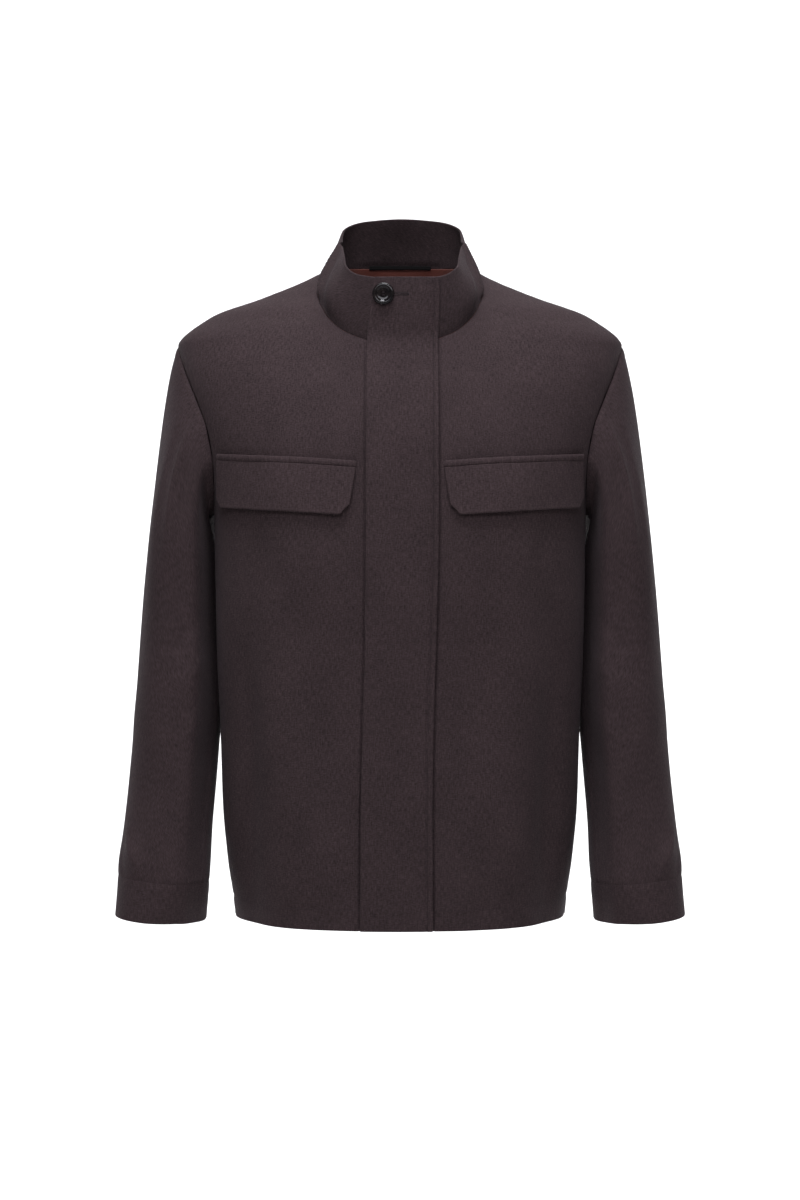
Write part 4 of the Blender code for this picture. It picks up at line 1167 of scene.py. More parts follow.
# Grain of the wool's yarns and slow clouds, in noise cells per metre across, along and through the cloth
WARP_GRAIN = (800.0, 150.0, 1.0)
WEFT_GRAIN = (320.0, 780.0, 1.0)
CLOUD_GRAIN = (22.0, 16.0, 1.0)
CLOUD_SHARE = 0.16
WARP_BAND_SCALE = 380.0
WEFT_BAND_SCALE = 340.0
DARK_YARN = 0.52
LIGHT_YARN = 1.62
WOOL_TONE = (0.0340, 0.0228, 0.0240)
# Painted shade and painted light: the collar's wool is a darker copy and the flaps' wool a lighter copy of
# the same cloth, standing in for the shade on the upright collar and the light on the tilted flaps
COLLAR_PAINTED_SHADE_SHARE = 0.87
FLAP_PAINTED_LIGHT_SHARE = 1.10


def shader_of(name):
    """A new material with its node tree and main shader."""
    made = bpy.data.materials.new(name)
    made.use_nodes = True
    tree = made.node_tree
    return made, tree, tree.nodes["Principled BSDF"]


def noise(tree, grain, detail, coordinates="UV"):
    """A noise pattern with its cells per metre in each direction."""
    source = tree.nodes.new("ShaderNodeTexCoord")
    mapping = tree.nodes.new("ShaderNodeMapping")
    mapping.inputs["Scale"].default_value = grain
    pattern = tree.nodes.new("ShaderNodeTexNoise")
    pattern.inputs["Scale"].default_value = 1.0
    pattern.inputs["Detail"].default_value = detail
    pattern.inputs["Roughness"].default_value = 0.5
    tree.links.new(source.outputs[coordinates], mapping.inputs["Vector"])
    tree.links.new(mapping.outputs["Vector"], pattern.inputs["Vector"])
    return pattern.outputs["Fac"]


def bands(tree, scale, direction):
    """Even bands across or along the cloth."""
    source = tree.nodes.new("ShaderNodeTexCoord")
    pattern = tree.nodes.new("ShaderNodeTexWave")
    pattern.wave_type = "BANDS"
    pattern.bands_direction = direction
    pattern.inputs["Scale"].default_value = scale
    pattern.inputs["Distortion"].default_value = 0.6
    pattern.inputs["Detail"].default_value = 1.0
    tree.links.new(source.outputs["UV"], pattern.inputs["Vector"])
    return pattern.outputs["Fac"]


def math(tree, operation, first, second):
    """One sum of two values, either of which may be a number."""
    node = tree.nodes.new("ShaderNodeMath")
    node.operation = operation
    for socket, value in zip(node.inputs, (first, second)):
        if isinstance(value, (int, float)):
            socket.default_value = value
        else:
            tree.links.new(value, socket)
    return node.outputs["Value"]


def ramp(tree, value, stops):
    """Colours spread over a value."""
    node = tree.nodes.new("ShaderNodeValToRGB")
    stop = node.color_ramp.elements
    while len(stop) < len(stops):
        stop.new(0.5)
    for element, (place, colour) in zip(stop, stops):
        element.position = place
        element.color = (*colour, 1.0)
    tree.links.new(value, node.inputs["Fac"])
    return node.outputs["Color"]


def coloured(tree, shader, value, stops):
    """A shader coloured by a value."""
    tree.links.new(ramp(tree, value, stops), shader.inputs["Base Color"])


def set_inputs(shader, **values):
    """Constants on a shader's sockets, with underscores for the spaces in their names."""
    for name, value in values.items():
        shader.inputs[name.replace("_", " ")].default_value = value


def bumped(tree, shader, height, strength, distance):
    """Fine relief from a value."""
    node = tree.nodes.new("ShaderNodeBump")
    node.inputs["Strength"].default_value = strength
    node.inputs["Distance"].default_value = distance
    tree.links.new(height, node.inputs["Height"])
    tree.links.new(node.outputs["Normal"], shader.inputs["Normal"])


def wool_material(name, tone):
    """Dark brown wool: two yarn tones mixed along warp and weft, a fine weave and a slight nap."""
    made, tree, shader = shader_of(name)
    warp = noise(tree, WARP_GRAIN, 2.0)
    weft = noise(tree, WEFT_GRAIN, 2.0)
    slow = noise(tree, CLOUD_GRAIN, 2.0)
    yarns = math(tree, "ADD", math(tree, "MULTIPLY", warp, 0.5), math(tree, "MULTIPLY", weft, 0.5))
    mixed = math(tree, "ADD", yarns, math(tree, "MULTIPLY", math(tree, "SUBTRACT", slow, 0.5), CLOUD_SHARE))
    dark = tuple(DARK_YARN * c for c in tone)
    light = tuple(LIGHT_YARN * c for c in tone)
    coloured(tree, shader, mixed, ((0.30, dark), (0.50, tone), (0.70, light)))
    weave = math(tree, "MULTIPLY", bands(tree, WARP_BAND_SCALE, "X"), bands(tree, WEFT_BAND_SCALE, "Y"))
    relief = math(tree, "ADD", math(tree, "MULTIPLY", weave, 0.5), yarns)
    bumped(tree, shader, relief, 0.5, 0.0005)
    set_inputs(shader, Roughness=0.92, Specular_IOR_Level=0.14, Sheen_Weight=0.04,
               Sheen_Roughness=0.45, Sheen_Tint=(0.80, 0.68, 0.72, 1.0))
    return made


def satin_material():
    """Rust red lining satin with fine floats along its length."""
    made, tree, shader = shader_of("lining_satin_cloth")
    floats = noise(tree, (1500.0, 60.0, 1.0), 2.0)
    slow = noise(tree, (40.0, 30.0, 1.0), 2.0)
    mixed = math(tree, "ADD", math(tree, "MULTIPLY", floats, 0.7), math(tree, "MULTIPLY", slow, 0.3))
    coloured(tree, shader, mixed, ((0.30, (0.074, 0.019, 0.013)), (0.70, (0.150, 0.043, 0.030))))
    bumped(tree, shader, floats, 0.15, 0.0002)
    set_inputs(shader, Roughness=0.38, Sheen_Weight=0.2)
    return made


def tape_material():
    """Black woven tape of the hanger loop."""
    made, tree, shader = shader_of("loop_tape_cloth")
    ribs = math(tree, "MULTIPLY", bands(tree, 260.0, "X"), bands(tree, 420.0, "Y"))
    coloured(tree, shader, ribs, ((0.0, (0.0020, 0.0017, 0.0018)), (1.0, (0.0060, 0.0050, 0.0052))))
    bumped(tree, shader, ribs, 0.4, 0.0003)
    set_inputs(shader, Roughness=0.85, Specular_IOR_Level=0.12)
    return made


def thread_material():
    """Sewing thread a little darker than the cloth, twisted."""
    made, tree, shader = shader_of("sewing_thread")
    twist = noise(tree, (4200.0, 4200.0, 1800.0), 1.0, "Object")
    coloured(tree, shader, twist, ((0.30, (0.010, 0.007, 0.008)), (0.70, (0.024, 0.017, 0.018))))
    bumped(tree, shader, twist, 0.3, 0.0001)
    set_inputs(shader, Roughness=0.75, Specular_IOR_Level=0.2)
    return made


def horn_material():
    """Polished near-black horn with faint streaks and fine scratches."""
    made, tree, shader = shader_of("button_horn")
    streaks = noise(tree, (110.0, 420.0, 110.0), 4.0, "Object")
    coloured(tree, shader, streaks, ((0.35, (0.004, 0.0035, 0.004)), (0.75, (0.016, 0.012, 0.011))))
    wear = noise(tree, (900.0, 900.0, 900.0), 3.0, "Object")
    tree.links.new(math(tree, "ADD", math(tree, "MULTIPLY", wear, 0.08), 0.06), shader.inputs["Roughness"])
    bumped(tree, shader, wear, 0.04, 0.0002)
    shader.inputs["Specular IOR Level"].default_value = 0.24
    return made


def studio_material():
    """Matt pale studio paper."""
    made, tree, shader = shader_of("studio_paper")
    grain = noise(tree, (3.0, 3.0, 3.0), 3.0, "Object")
    coloured(tree, shader, grain, ((0.3, (0.84, 0.84, 0.84)), (0.7, (0.88, 0.88, 0.88))))
    set_inputs(shader, Roughness=0.95, Specular_IOR_Level=0.1)
    return made


wool = wool_material("wool_cloth", WOOL_TONE)
# A darker copy of the wool for the collar is painted shade, and a lighter copy for the jets and flaps is
# painted light
collar_painted_shade_wool = wool_material("wool_collar_painted_shade", tuple(COLLAR_PAINTED_SHADE_SHARE * c for c in WOOL_TONE))
flap_painted_light_wool = wool_material("wool_flap_painted_light", tuple(FLAP_PAINTED_LIGHT_SHARE * c for c in WOOL_TONE))
satin = satin_material()
tape = tape_material()
thread = thread_material()
horn = horn_material()

# Camera and light

camera_data = bpy.data.cameras.new("camera")
camera_data.sensor_fit = "VERTICAL"
camera_data.sensor_height = SENSOR
camera_data.lens = FOCAL_PIXELS / IMAGE_HEIGHT * SENSOR
camera = bpy.data.objects.new("camera", camera_data)
camera.location = (0.0, -CAMERA_DISTANCE, CAMERA_HEIGHT - NECK_HEIGHT)
camera.rotation_euler = (pi / 2, 0.0, 0.0)
bpy.context.scene.collection.objects.link(camera)
bpy.context.scene.camera = camera
bpy.context.scene.view_settings.view_transform = "Standard"

# Lights: a distant softbox high in front, a weak one nearer, one overhead and two for the backdrop
COOL = (0.98, 0.98, 1.05)
PLAIN = (1.0, 1.0, 1.0)
LIGHTS = rows_with(
    "name place target width height power colour",
    ("softbox", (-0.15, -1.55, 3.88), (0.0, 0.0, -0.35), 1.8, 1.2, 186.0, COOL),
    ("key", (-0.05, -1.45, 0.55), (0.0, 0.0, -0.12), 1.2, 0.5, 13.0, COOL),
    ("overhead", (0.0, 0.25, 1.4), (0.0, 0.0, -0.1), 1.4, 0.6, 12.5, PLAIN),
    ("backdrop_left", (-2.4, 1.2, -0.1), (-1.4, 3.4, -0.1), 1.2, 3.2, 85.0, PLAIN),
    ("backdrop_right", (2.4, 1.2, -0.1), (1.4, 3.4, -0.1), 1.2, 3.2, 85.0, PLAIN),
)
for light in LIGHTS:
    lamp = bpy.data.lights.new(light.name, "AREA")
    lamp.shape = "RECTANGLE"
    lamp.size = light.width
    lamp.size_y = light.height
    lamp.energy = light.power
    lamp.color = light.colour
    holder = bpy.data.objects.new(light.name, lamp)
    holder.location = light.place
    aim = Vector(light.target) - Vector(light.place)
    holder.rotation_euler = aim.to_track_quat("-Z", "Y").to_euler()
    bpy.context.scene.collection.objects.link(holder)

WORLD_COLOUR = (1.0, 0.95, 0.94, 1.0)
WORLD_STRENGTH = 0.14
world = bpy.data.worlds.new("studio")
world.use_nodes = True
world.node_tree.nodes["Background"].inputs["Color"].default_value = WORLD_COLOUR
world.node_tree.nodes["Background"].inputs["Strength"].default_value = WORLD_STRENGTH
bpy.context.scene.world = world

# Floor that sweeps up into a backdrop
FLOOR_HEIGHT = -1.50
SWEEP_START = 1.8
SWEEP_RADIUS = 1.2
STUDIO_HALF_WIDTH = 4.5
WALL_TOP = 4.5
FLOOR_FRONT = -7.0
SWEEP_STEPS = 16
profile = [(FLOOR_FRONT, FLOOR_HEIGHT), (SWEEP_START, FLOOR_HEIGHT)]
for step in range(1, SWEEP_STEPS + 1):
    angle = 0.5 * pi * step / SWEEP_STEPS
    profile.append((SWEEP_START + SWEEP_RADIUS * sin(angle), FLOOR_HEIGHT + SWEEP_RADIUS * (1 - cos(angle))))
profile.append((SWEEP_START + SWEEP_RADIUS, WALL_TOP))
sweep_points = [(x, y, z) for y, z in profile for x in (-STUDIO_HALF_WIDTH, STUDIO_HALF_WIDTH)]
sweep_faces = [(2 * k, 2 * k + 1, 2 * k + 3, 2 * k + 2) for k in range(len(profile) - 1)]
sweep_mesh = bpy.data.meshes.new("studio_sweep")
sweep_mesh.from_pydata(sweep_points, [], sweep_faces)
sweep_mesh.shade_smooth()
sweep_mesh.materials.append(studio_material())
sweep = bpy.data.objects.new("studio_sweep", sweep_mesh)
bpy.context.scene.collection.objects.link(sweep)

# Body panels, with the places of the pockets on them


def round_front(distance, height):
    """Point of the left front at a distance round it from the centre line."""
    shares = np.sin(0.5 * pi * np.linspace(0.0, 1.0, ROUND_SAMPLES))
    line = front_line(shares * body_column("half_width", height) * SIDE_SHORT, height)
    along = lengths_along(line)
    return between(distance, along, line)


def pocket_top(share):
    """Height of the pocket's top line at a share of its length from the inner end."""
    return POCKET_TOP_INNER + share * (POCKET_TOP_OUTER - POCKET_TOP_INNER)


def corner_cut(distance):
    """How much shorter the flap is near one of its ends."""
    left_over = np.clip(FLAP_CORNER - distance, 0.0, FLAP_CORNER)
    return left_over * smooth(left_over / (FLAP_CORNER_ROUND * FLAP_CORNER))


pocket_shares = np.linspace(0.0, 1.0, FLAP_COLUMNS + 1)
pocket_shares = np.unique(np.concatenate([pocket_shares, CLOSE_TO_FLAP_ENDS]))
flap_down = np.unique(np.concatenate([np.linspace(0.0, 1.0, FLAP_ROWS + 1), CLOSE_TO_FLAP_EDGES]))
jet_down = np.linspace(0.0, 1.0, JET_ROWS + 1)
jet_base = np.zeros((len(jet_down), len(pocket_shares), 3))
flap_base = np.zeros((len(flap_down), len(pocket_shares), 3))
for j, share in enumerate(pocket_shares):
    distance = POCKET_INNER + share * POCKET_LENGTH
    top = pocket_top(share)
    for i, down in enumerate(jet_down):
        jet_base[i, j] = round_front(distance, top - JET_DEPTH * down)
    reach = FLAP_DEPTH - corner_cut(share * POCKET_LENGTH) - corner_cut((1.0 - share) * POCKET_LENGTH)
    for i, down in enumerate(flap_down):
        flap_base[i, j] = round_front(distance - FLAP_LEAN * down, top - JET_DEPTH - SEAM_GAP - reach * down)

rough_right = front_grid(RIGHT_FRONT_SHARES, -1)
rough_left = front_grid(LEFT_FRONT_SHARES, 1)
rough_back = back_grid()
body_rows = fine_places(0, SIDE_ROWS + ARMHOLE_ROWS)


def folded(grid, face):
    """A fine body grid with its folds and creases, and its outward directions."""
    out = form_normal(grid)
    lift = fold_height(grid, face) + crease_height(grid, face)
    return grid + lift[..., None] * out, out


def pressed(grid, out):
    """A front pressed in along the placket's edges and over the pocket's top line."""
    aside = np.minimum(
        np.abs(grid[..., 0] - band_edge(1.0, grid[..., 2]) - GROOVE_ASIDE),
        np.abs(grid[..., 0] - band_edge(0.0, grid[..., 2]) + GROOVE_ASIDE),
    )
    from_neck = np.linalg.norm(grid - grid[-1:], axis=-1)
    depth = EDGE_GROOVE * np.exp(-((aside / GROOVE_REACH) ** 2))
    depth = depth * np.clip(from_neck / GROOVE_NECK_FADE, 0.0, 1.0)
    share = np.interp(np.abs(grid[..., 0]), jet_base[0, :, 0], pocket_shares, left=-1.0, right=-1.0)
    above = grid[..., 2] - pocket_top(share) - GROOVE_ASIDE
    depth += POCKET_GROOVE * np.exp(-((above / GROOVE_REACH) ** 2)) * (share >= 0.0)
    return grid - depth[..., None] * out


left_strip = len(LEFT_FRONT_SHARES) - 1
right_strip = len(RIGHT_FRONT_SHARES) - 1
hem_finish = ("low", HEM_STITCH, HEM_PUFF)
hem_lines = []
# Where the unevenness of each piece starts, so that no two are alike
FRONT_PHASES = {"left": 1.0, "right": 2.6}
SLEEVE_PHASES = {"left": 0.0, "right": 1.3}
BACK_PHASE = 4.1
COLLAR_PHASE = 0.4
PLACKET_PHASE = 3.3
JET_PHASE = 0.9
FLAP_PHASE = 1.7
for side, rough, strip in (("left", rough_left, left_strip), ("right", rough_right, right_strip)):
    columns = fine_places(0, rough.shape[1] - 1)
    columns = np.unique(np.concatenate([columns, strip + np.array(CLOSE_TO_BAND)]))
    grid = fine_grid(rough, body_rows, columns, (strip + FRONT_NECK_COLUMNS,))
    grid, out = folded(grid, "front")
    grid = pressed(grid, out)
    rests_on = ["collar", f"sleeve_top_{side}"]
    face = panel(f"front_{side}", grid, out, CLOTH, wool, "hung", rests_on, seams=("high", "last"),
                 stitch=hem_finish, phase=FRONT_PHASES[side], shut=("high",))
    hem_lines.append(thread_run(*line_in(face, out, "low", HEM_STITCH - 0.5 * CLOTH)))

back_columns = fine_places(0, rough_back.shape[1] - 1)
back_breaks = (SHOULDER_COLUMNS, SHOULDER_COLUMNS + 2 * BACK_NECK_HALF)
back_fine, back_out = folded(fine_grid(rough_back, body_rows, back_columns, back_breaks), "back")
face = panel("back", back_fine, back_out, CLOTH, wool, "hung", ["collar"], seams=("high", "first", "last"),
             stitch=hem_finish, phase=BACK_PHASE, shut=("high",))
hem_lines.append(thread_run(*line_in(face, back_out, "low", HEM_STITCH - 0.5 * CLOTH)))
joined("hem_stitches", hem_lines)

# Sleeves and cuffs

seam_row = CAP_ROWS + SLEEVE_ROWS
back_seam = SLEEVE_COLUMNS - BACK_SLEEVE_SEAM
sleeve_rows = fine_places(0, seam_row)
cuff_rows = fine_places(seam_row, seam_row + CUFF_ROWS, CUFF_FINE)
top_columns = fine_places(FRONT_SLEEVE_SEAM, back_seam)
under_columns = fine_places(back_seam, SLEEVE_COLUMNS + FRONT_SLEEVE_SEAM)
ALL_EDGES = ("low", "high", "first", "last")
CUFF_EDGES = ("low", "first", "last")
STRETCHES = rows_with(
    "name columns rows thick seams rolls shut",
    ("sleeve_top", top_columns, sleeve_rows, CLOTH, ALL_EDGES, ("low",), ()),
    ("sleeve_under", under_columns, sleeve_rows, CLOTH, ALL_EDGES, ("low",), ("high", "first", "last")),
    ("cuff", fine_places(0, SLEEVE_COLUMNS), cuff_rows, CUFF_CLOTH, CUFF_EDGES, (), CUFF_EDGES),
)
for side, turned in (("left", lambda points: points), ("right", mirrored)):
    for name, columns, rows, thick, seams, rolls, shut in STRETCHES:
        grid, out = sleeve_piece(columns, rows)
        rests_on = [f"front_{side}", "back"] if name != "cuff" else [f"sleeve_top_{side}"]
        panel(f"{name}_{side}", turned(grid), turned(out), thick, wool, "hung", rests_on, seams=seams,
              rolls=rolls, phase=len(name) + SLEEVE_PHASES[side], shut=shut)

# Collar

front_places, back_places = neck_samples()


def collar_ends(shares):
    """Top points of the collar over the columns that lie under the placket."""
    return np.array([neck_at_x(band_edge(share, COLLAR_FRONT_TOP), 1) for share in shares[:-1]])


side_front_top = at_neck(front_places, 1)
side_back_top = at_neck(back_places, 1)
left_edge_top = side_front_top.copy()
left_edge_top[0] = neck_at_x(band_edge(1.0, COLLAR_FRONT_TOP), 1)
right_edge_top = mirrored(side_front_top)
right_edge_top[0] = neck_at_x(band_edge(0.0, COLLAR_FRONT_TOP), 1)
seam_line = np.concatenate(
    [
        rough_left[-1, : left_strip + FRONT_NECK_COLUMNS + 1],
        rough_back[-1, SHOULDER_COLUMNS + 1 : -SHOULDER_COLUMNS - 1],
        rough_right[-1, : right_strip + FRONT_NECK_COLUMNS + 1][::-1],
    ]
)
top_line = np.concatenate(
    [
        collar_ends(LEFT_FRONT_SHARES),
        left_edge_top,
        side_back_top[1:],
        mirrored(side_back_top[::-1])[1:-1],
        right_edge_top[::-1],
        collar_ends(RIGHT_FRONT_SHARES)[::-1],
    ]
)
half_places = np.concatenate([front_places, back_places[1:]])
column_places = np.concatenate(
    [
        np.full(left_strip, front_places[0]),
        half_places,
        half_places[::-1][1:],
        np.full(right_strip, front_places[0]),
    ]
)
top_line = top_line + np.array([COLLAR_LEAN, 0.0, 0.0])
top_line[:, 1] -= COLLAR_FORWARD * smooth((COLLAR_FORWARD_END - column_places) / COLLAR_FORWARD_TAPER)
collar_columns = fine_places(0, len(seam_line) - 1, COLLAR_FINE)
seam_line = refined(seam_line, collar_columns)
top_line = refined(top_line, collar_columns)
levels = fine_places(0, COLLAR_LEVELS)[:, None, None] / COLLAR_LEVELS
collar = (1 - levels) * seam_line[None] + levels * top_line[None]
collar = collar - COLLAR_HOLLOW * np.sin(pi * levels) * grid_normal(collar)
collar_out = grid_normal(collar)
place = np.interp(collar_columns, np.arange(len(column_places)), column_places)[None, :]
level = levels[:, :, 0]
at_side = np.exp(-(((place - COLLAR_SWELL_PLACE) / COLLAR_SWELL_SPREAD) ** 2))
at_side = at_side * smooth((place - COLLAR_SWELL_START) / COLLAR_SWELL_RISE)
collar_lift = COLLAR_SWELL * at_side * np.sin(pi * np.clip(level, 0.0, 1.0) ** COLLAR_SWELL_LOW) ** 2
for ripple in COLLAR_RIPPLES:
    share = np.clip((level - ripple.from_level) / (ripple.to_level - ripple.from_level), 0.0, 1.0)
    aside = (place - ripple.from_place - share * (ripple.to_place - ripple.from_place)) * NECK_STEP
    starts = smooth((level - ripple.from_level) / RIPPLE_END + 0.5)
    ends = smooth((ripple.to_level - level) / RIPPLE_END + 0.5)
    collar_lift += ripple.height * starts * ends * np.exp(-((aside / ripple.half_width) ** 2))
collar = collar + (collar_lift * smooth(level / COLLAR_SEAM_REACH))[..., None] * collar_out
collar_out = grid_normal(collar)
# The collar wears the darker copy of the wool, painted shade
panel("collar", collar, collar_out, COLLAR_CLOTH, collar_painted_shade_wool, "hung", ["back", "front_left", "front_right"],
      seams=("low",), phase=COLLAR_PHASE, shut=("low",))

# Placket band, over the fronts and the collar

PLACKET_COLUMNS = 34
PLACKET_ROWS = 150
PLACKET_COLLAR_ROWS = 20
CLOSE_TO_SIDES = np.array((0.008, 0.018, 0.060, 0.070, 0.080, 0.090))
CLOSE_TO_HEM = (0.0, 0.001, 0.0025)
CLOSE_TO_TOP = (0.975, 0.99, 1.0)
BEND_ROWS = 3.0
BEND_ROUNDS = 12
shares = np.linspace(0.0, 1.0, PLACKET_COLUMNS + 1)
shares = np.unique(np.concatenate([shares, CLOSE_TO_SIDES, 1.0 - CLOSE_TO_SIDES]))
shares_up = np.concatenate([CLOSE_TO_HEM, np.linspace(0.0, 1.0, PLACKET_ROWS + 1)[1:]])
body_part = np.stack([band_column(share, shares_up) for share in shares], axis=1)
body_part, _ = folded(body_part, "front")
band_top = np.array([neck_at_x(band_edge(share, COLLAR_FRONT_TOP), 1) for share in shares])
band_top = band_top + np.array([COLLAR_LEAN, -COLLAR_FORWARD, 0.0])
rise = np.concatenate([np.linspace(0.0, 1.0, PLACKET_COLLAR_ROWS + 1)[1:-1], CLOSE_TO_TOP])[:, None, None]
collar_part = (1 - rise) * body_part[-1][None] + rise * band_top[None]
collar_part = collar_part - COLLAR_HOLLOW * np.sin(pi * rise) * grid_normal(collar_part)
band = np.concatenate([body_part, collar_part])
bend_row = len(body_part) - 1
near_bend = np.exp(-(((np.arange(len(band)) - bend_row) / BEND_ROWS) ** 2))[:, None, None]
for _ in range(BEND_ROUNDS):
    eased_rows = band.copy()
    eased_rows[1:-1] = 0.25 * band[:-2] + 0.5 * band[1:-1] + 0.25 * band[2:]
    band = band + near_bend * (eased_rows - band)
band_out = grid_normal(band)
band = band + (SEAM_GAP + PLACKET_CLOTH) * band_out
band_distances = edge_distances(band)
free_lift = np.exp(-(((band[..., 2] - PLACKET_LIFT_HEIGHT) / PLACKET_LIFT_SPREAD) ** 2))
free_lift = PLACKET_LIFT * free_lift * smooth(1.0 - band_distances["first"] / PLACKET_LIFT_REACH)
band = band + free_lift[..., None] * band_out
rests_on = ["front_left", "front_right", "collar"]
band_face = panel("placket", band, band_out, PLACKET_CLOTH, wool, "laid", rests_on,
                  stitch=("last", PLACKET_STITCH, PLACKET_PUFF), phase=PLACKET_PHASE)
placket_line = line_in(band_face, band_out, "last", PLACKET_STITCH - 0.5 * PLACKET_CLOTH)
joined("placket_stitches", [thread_run(*placket_line)])


def on_band(x, height):
    """Point of the placket's face at a distance from the centre and a height."""
    columns = range(band_face.shape[1])
    crossing = np.array([between(height, band_face[:, j, 2], band_face[:, j]) for j in columns])
    crossing = crossing[np.argsort(crossing[:, 0])]
    return between(x, crossing[:, 0], crossing)


# Buttonhole: two rows of close stitches beside a slit, and a bar at its end

hole_x = np.linspace(BUTTONHOLE_START, BUTTONHOLE_END, BUTTONHOLE_SAMPLES)
hole_line = np.array([on_band(x, BUTTON_HEIGHT) for x in hole_x])
middle = on_band(BUTTON_X, BUTTON_HEIGHT)
beside = on_band(BUTTON_X - BUTTON_RADIUS, BUTTON_HEIGHT)
above = on_band(BUTTON_X, BUTTON_HEIGHT + BUTTON_RADIUS)
facing = unit(np.cross(middle - beside, above - middle))
side_way = unit(np.cross(np.array([0.0, 0.0, 1.0]), facing))
up_way = np.cross(facing, side_way)
hole_runs = []
hole_along = lengths_along(hole_line)
for at in np.arange(0.0, hole_along[-1], BUTTONHOLE_PITCH):
    spot = between(at, hole_along, hole_line)
    for sign in (-1.0, 1.0):
        near = spot + sign * BUTTONHOLE_SLIT * up_way
        far = spot + sign * BUTTONHOLE_REACH * up_way
        hole_runs.append(one_bar(near, far, facing, BUTTONHOLE_REACH - BUTTONHOLE_SLIT, BUTTONHOLE_THREAD))
for step in (-1, 0, 1):
    end = hole_line[-1] + step * END_BAR_SPACING * side_way
    low = end - END_BAR_HALF * up_way
    high = end + END_BAR_HALF * up_way
    hole_runs.append(one_bar(low, high, facing, 2 * END_BAR_HALF, END_BAR_THREAD))
joined("buttonhole_stitches", hole_runs)

# Pockets

for side, sign in (("left", 1), ("right", -1)):
    jet, jet_out = folded(jet_base if sign > 0 else mirrored(jet_base), "front")
    flap, flap_out = folded(flap_base if sign > 0 else mirrored(flap_base), "front")
    jet_lift = FLAP_LIFT_TOP + FLAP_CLOTH + JET_CROWN * np.sin(pi * jet_down)[:, None, None]
    jet = jet + jet_lift * jet_out
    # Jet and flap wear the lighter copy of the wool, painted light
    panel(f"jet_{side}", jet, jet_out, FLAP_CLOTH, flap_painted_light_wool, "folded", [f"front_{side}"], JET_LAYERS,
          phase=JET_PHASE * sign)
    lift = FLAP_LIFT_TOP + (FLAP_LIFT_BOTTOM - FLAP_LIFT_TOP) * flap_down[:, None] + FLAP_CLOTH
    lift = lift + FLAP_CROWN * np.sin(pi * pocket_shares)[None, :] * np.sin(pi * flap_down)[:, None]
    d = edge_distances(flap)
    outer_edge = np.minimum(np.minimum(d["first"], d["last"]), d["high"])
    lift = lift + FLAP_EDGE_RIDGE * np.exp(-(((outer_edge - FLAP_EDGE_AT) / FLAP_EDGE_REACH) ** 2))
    flap = flap + lift[..., None] * flap_out
    panel(f"flap_{side}", flap, flap_out, FLAP_CLOTH, flap_painted_light_wool, "hung", [f"jet_{side}", f"front_{side}"],
          phase=FLAP_PHASE * sign)

# Back lining and hanger loop

lining_rows = fine_places(SIDE_ROWS + ARMHOLE_ROWS - LINING_ROWS, SIDE_ROWS + ARMHOLE_ROWS, LINING_FINE)
lining_columns = fine_places(LINING_INSET, rough_back.shape[1] - 1 - LINING_INSET, LINING_FINE)
lining, lining_out = folded(fine_grid(rough_back, lining_rows, lining_columns, back_breaks), "back")
lining_depth = CLOTH + LINING_CLEAR
lining = drawn_in(lining - lining_depth * lining_out, "high", LINING_NECK_CLEAR)
piece = shell("cloth_back_lining", lining, lining_out, LINING_CLOTH, satin)
kept(piece, "back_lining")

loop_x = np.linspace(LOOP_HALF_LENGTH, -LOOP_HALF_LENGTH, LOOP_COLUMNS + 1)
loop_seam = back_neck(loop_x)
loop_way = np.gradient(loop_seam, axis=0)
loop_out = unit(np.stack([loop_way[:, 1], -loop_way[:, 0], 0 * loop_x], axis=1))
swells = LOOP_SWELL * (1.0 - (loop_x / LOOP_HALF_LENGTH) ** 2)
loop_face = loop_seam - (LOOP_DEPTH + swells)[:, None] * loop_out
loop = np.repeat(loop_face[None], LOOP_ROWS + 1, axis=0)
loop[..., 2] -= LOOP_DROP + LOOP_WIDTH * np.linspace(1.0, 0.0, LOOP_ROWS + 1)[:, None]
loop_out = np.repeat(loop_out[None], LOOP_ROWS + 1, axis=0)
piece = shell("cloth_hanger_loop", loop, loop_out, LOOP_CLOTH, tape)
kept(piece, "hanger_loop")

# Button, turned and drilled, with its thread

# Profile from the middle of the face round to the middle of the back: shares of the radius and thickness
BUTTON_PROFILE = rows_with(
    "radius level",
    (0.00, 0.60), (0.30, 0.60), (0.50, 0.62), (0.58, 0.68), (0.64, 0.84), (0.70, 0.95),
    (0.78, 1.00), (0.86, 0.98), (0.93, 0.90), (0.98, 0.76), (1.00, 0.58), (0.98, 0.38),
    (0.92, 0.20), (0.80, 0.06), (0.66, 0.00), (0.00, 0.00),
)
button_place = middle + facing * BUTTON_CLEAR
button_matrix = Matrix(
    (
        (side_way[0], up_way[0], facing[0], button_place[0]),
        (side_way[1], up_way[1], facing[1], button_place[1]),
        (side_way[2], up_way[2], facing[2], button_place[2] - NECK_HEIGHT),
        (0.0, 0.0, 0.0, 1.0),
    )
)
turned_button = bmesh.new()
rings = []
for radius, level in BUTTON_PROFILE:
    z = level * BUTTON_THICKNESS
    if radius == 0.0:
        rings.append([turned_button.verts.new((0.0, 0.0, z))])
        continue
    ring = []
    for k in range(BUTTON_SIDES):
        angle = 2 * pi * k / BUTTON_SIDES
        r = radius * BUTTON_RADIUS
        ring.append(turned_button.verts.new((r * cos(angle), r * sin(angle), z)))
    rings.append(ring)
for near, far in zip(rings[:-1], rings[1:]):
    for k in range(BUTTON_SIDES):
        n = (k + 1) % BUTTON_SIDES
        if len(near) == 1:
            turned_button.faces.new((near[0], far[k], far[n]))
        elif len(far) == 1:
            turned_button.faces.new((near[k], far[0], near[n]))
        else:
            turned_button.faces.new((near[k], far[k], far[n], near[n]))
bmesh.ops.recalc_face_normals(turned_button, faces=turned_button.faces)
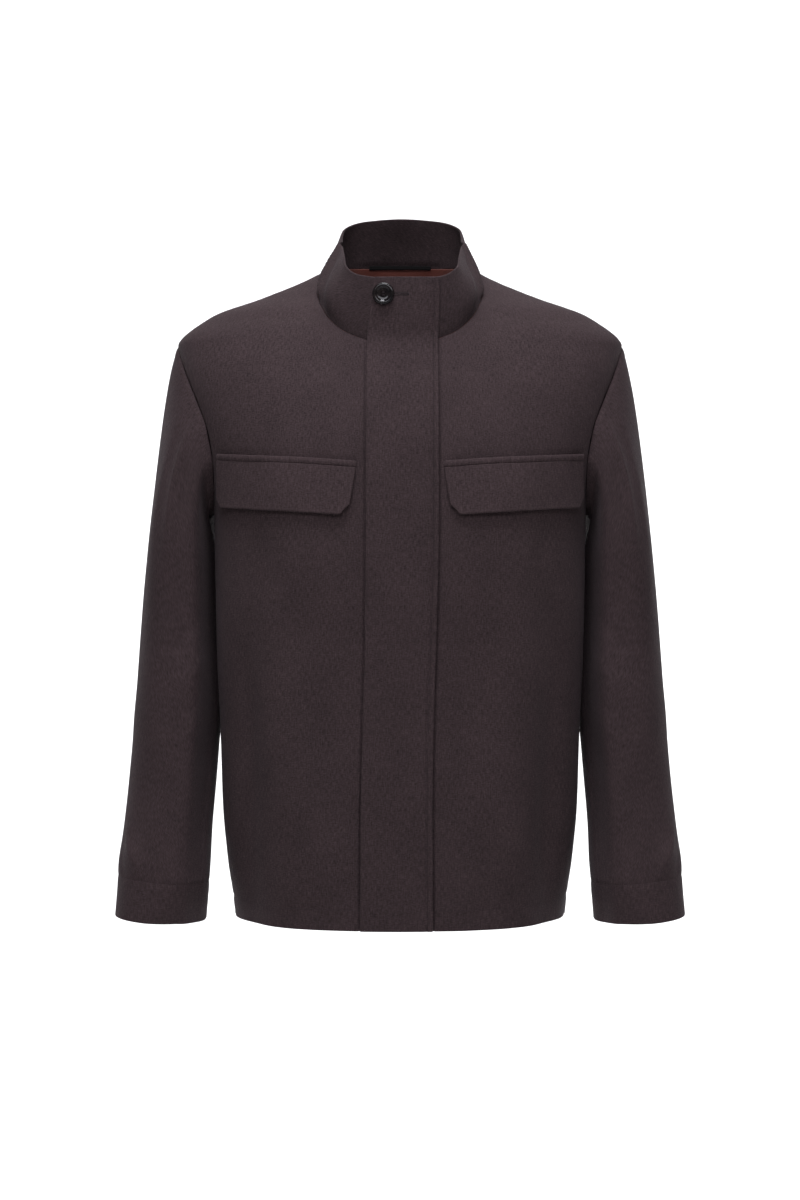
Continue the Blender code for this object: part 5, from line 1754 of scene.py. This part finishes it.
button_mesh = bpy.data.meshes.new("button_turned")
turned_button.to_mesh(button_mesh)
turned_button.free()
button = bpy.data.objects.new("button_horn_disc", button_mesh)
bpy.context.scene.collection.objects.link(button)
hole_places = []
drills = []
for k in range(4):
    angle = radians(45 + 90 * k)
    hole_places.append((BUTTON_HOLE_SPACING * cos(angle), BUTTON_HOLE_SPACING * sin(angle)))
    drill_mesh = bpy.data.meshes.new(f"button_drill_{k}")
    drill_build = bmesh.new()
    bmesh.ops.create_cone(
        drill_build,
        cap_ends=True,
        segments=DRILL_SIDES,
        radius1=BUTTON_HOLE_RADIUS,
        radius2=BUTTON_HOLE_RADIUS,
        depth=4 * BUTTON_THICKNESS,
        matrix=Matrix.Translation((*hole_places[-1], 0.0)),
    )
    drill_build.to_mesh(drill_mesh)
    drill_build.free()
    drill = bpy.data.objects.new(f"button_drill_{k}", drill_mesh)
    bpy.context.scene.collection.objects.link(drill)
    drills.append(drill)
    cut = button.modifiers.new(f"hole_{k}", "BOOLEAN")
    cut.operation = "DIFFERENCE"
    cut.solver = "EXACT"
    cut.object = drill
bpy.context.view_layer.update()
drilled = bpy.data.meshes.new_from_object(button.evaluated_get(bpy.context.evaluated_depsgraph_get()))
button.modifiers.clear()
button.data = drilled
for drill in drills:
    bpy.data.objects.remove(drill)
drilled.transform(button_matrix)
drilled.materials.clear()
drilled.materials.append(horn)
drilled.shade_smooth()
drilled.set_sharp_from_angle(angle=radians(BUTTON_SHARP_DEGREES))
kept(button, "button")

thread_runs = []
thread_level = BUTTON_FACE * BUTTON_THICKNESS + BUTTON_THREAD_LIFT
for pair in ((0, 1), (3, 2)):
    for step in (-1, 0, 1):
        ends = []
        for k in pair:
            x, y = hole_places[k]
            up = y + step * BUTTON_THREAD_SPACING
            ends.append(button_place + x * side_way + up * up_way + thread_level * facing)
        length = np.linalg.norm(ends[1] - ends[0])
        thread_runs.append(one_bar(*ends, facing, length, BUTTON_THREAD_RADIUS))
joined("button_thread", thread_runs)
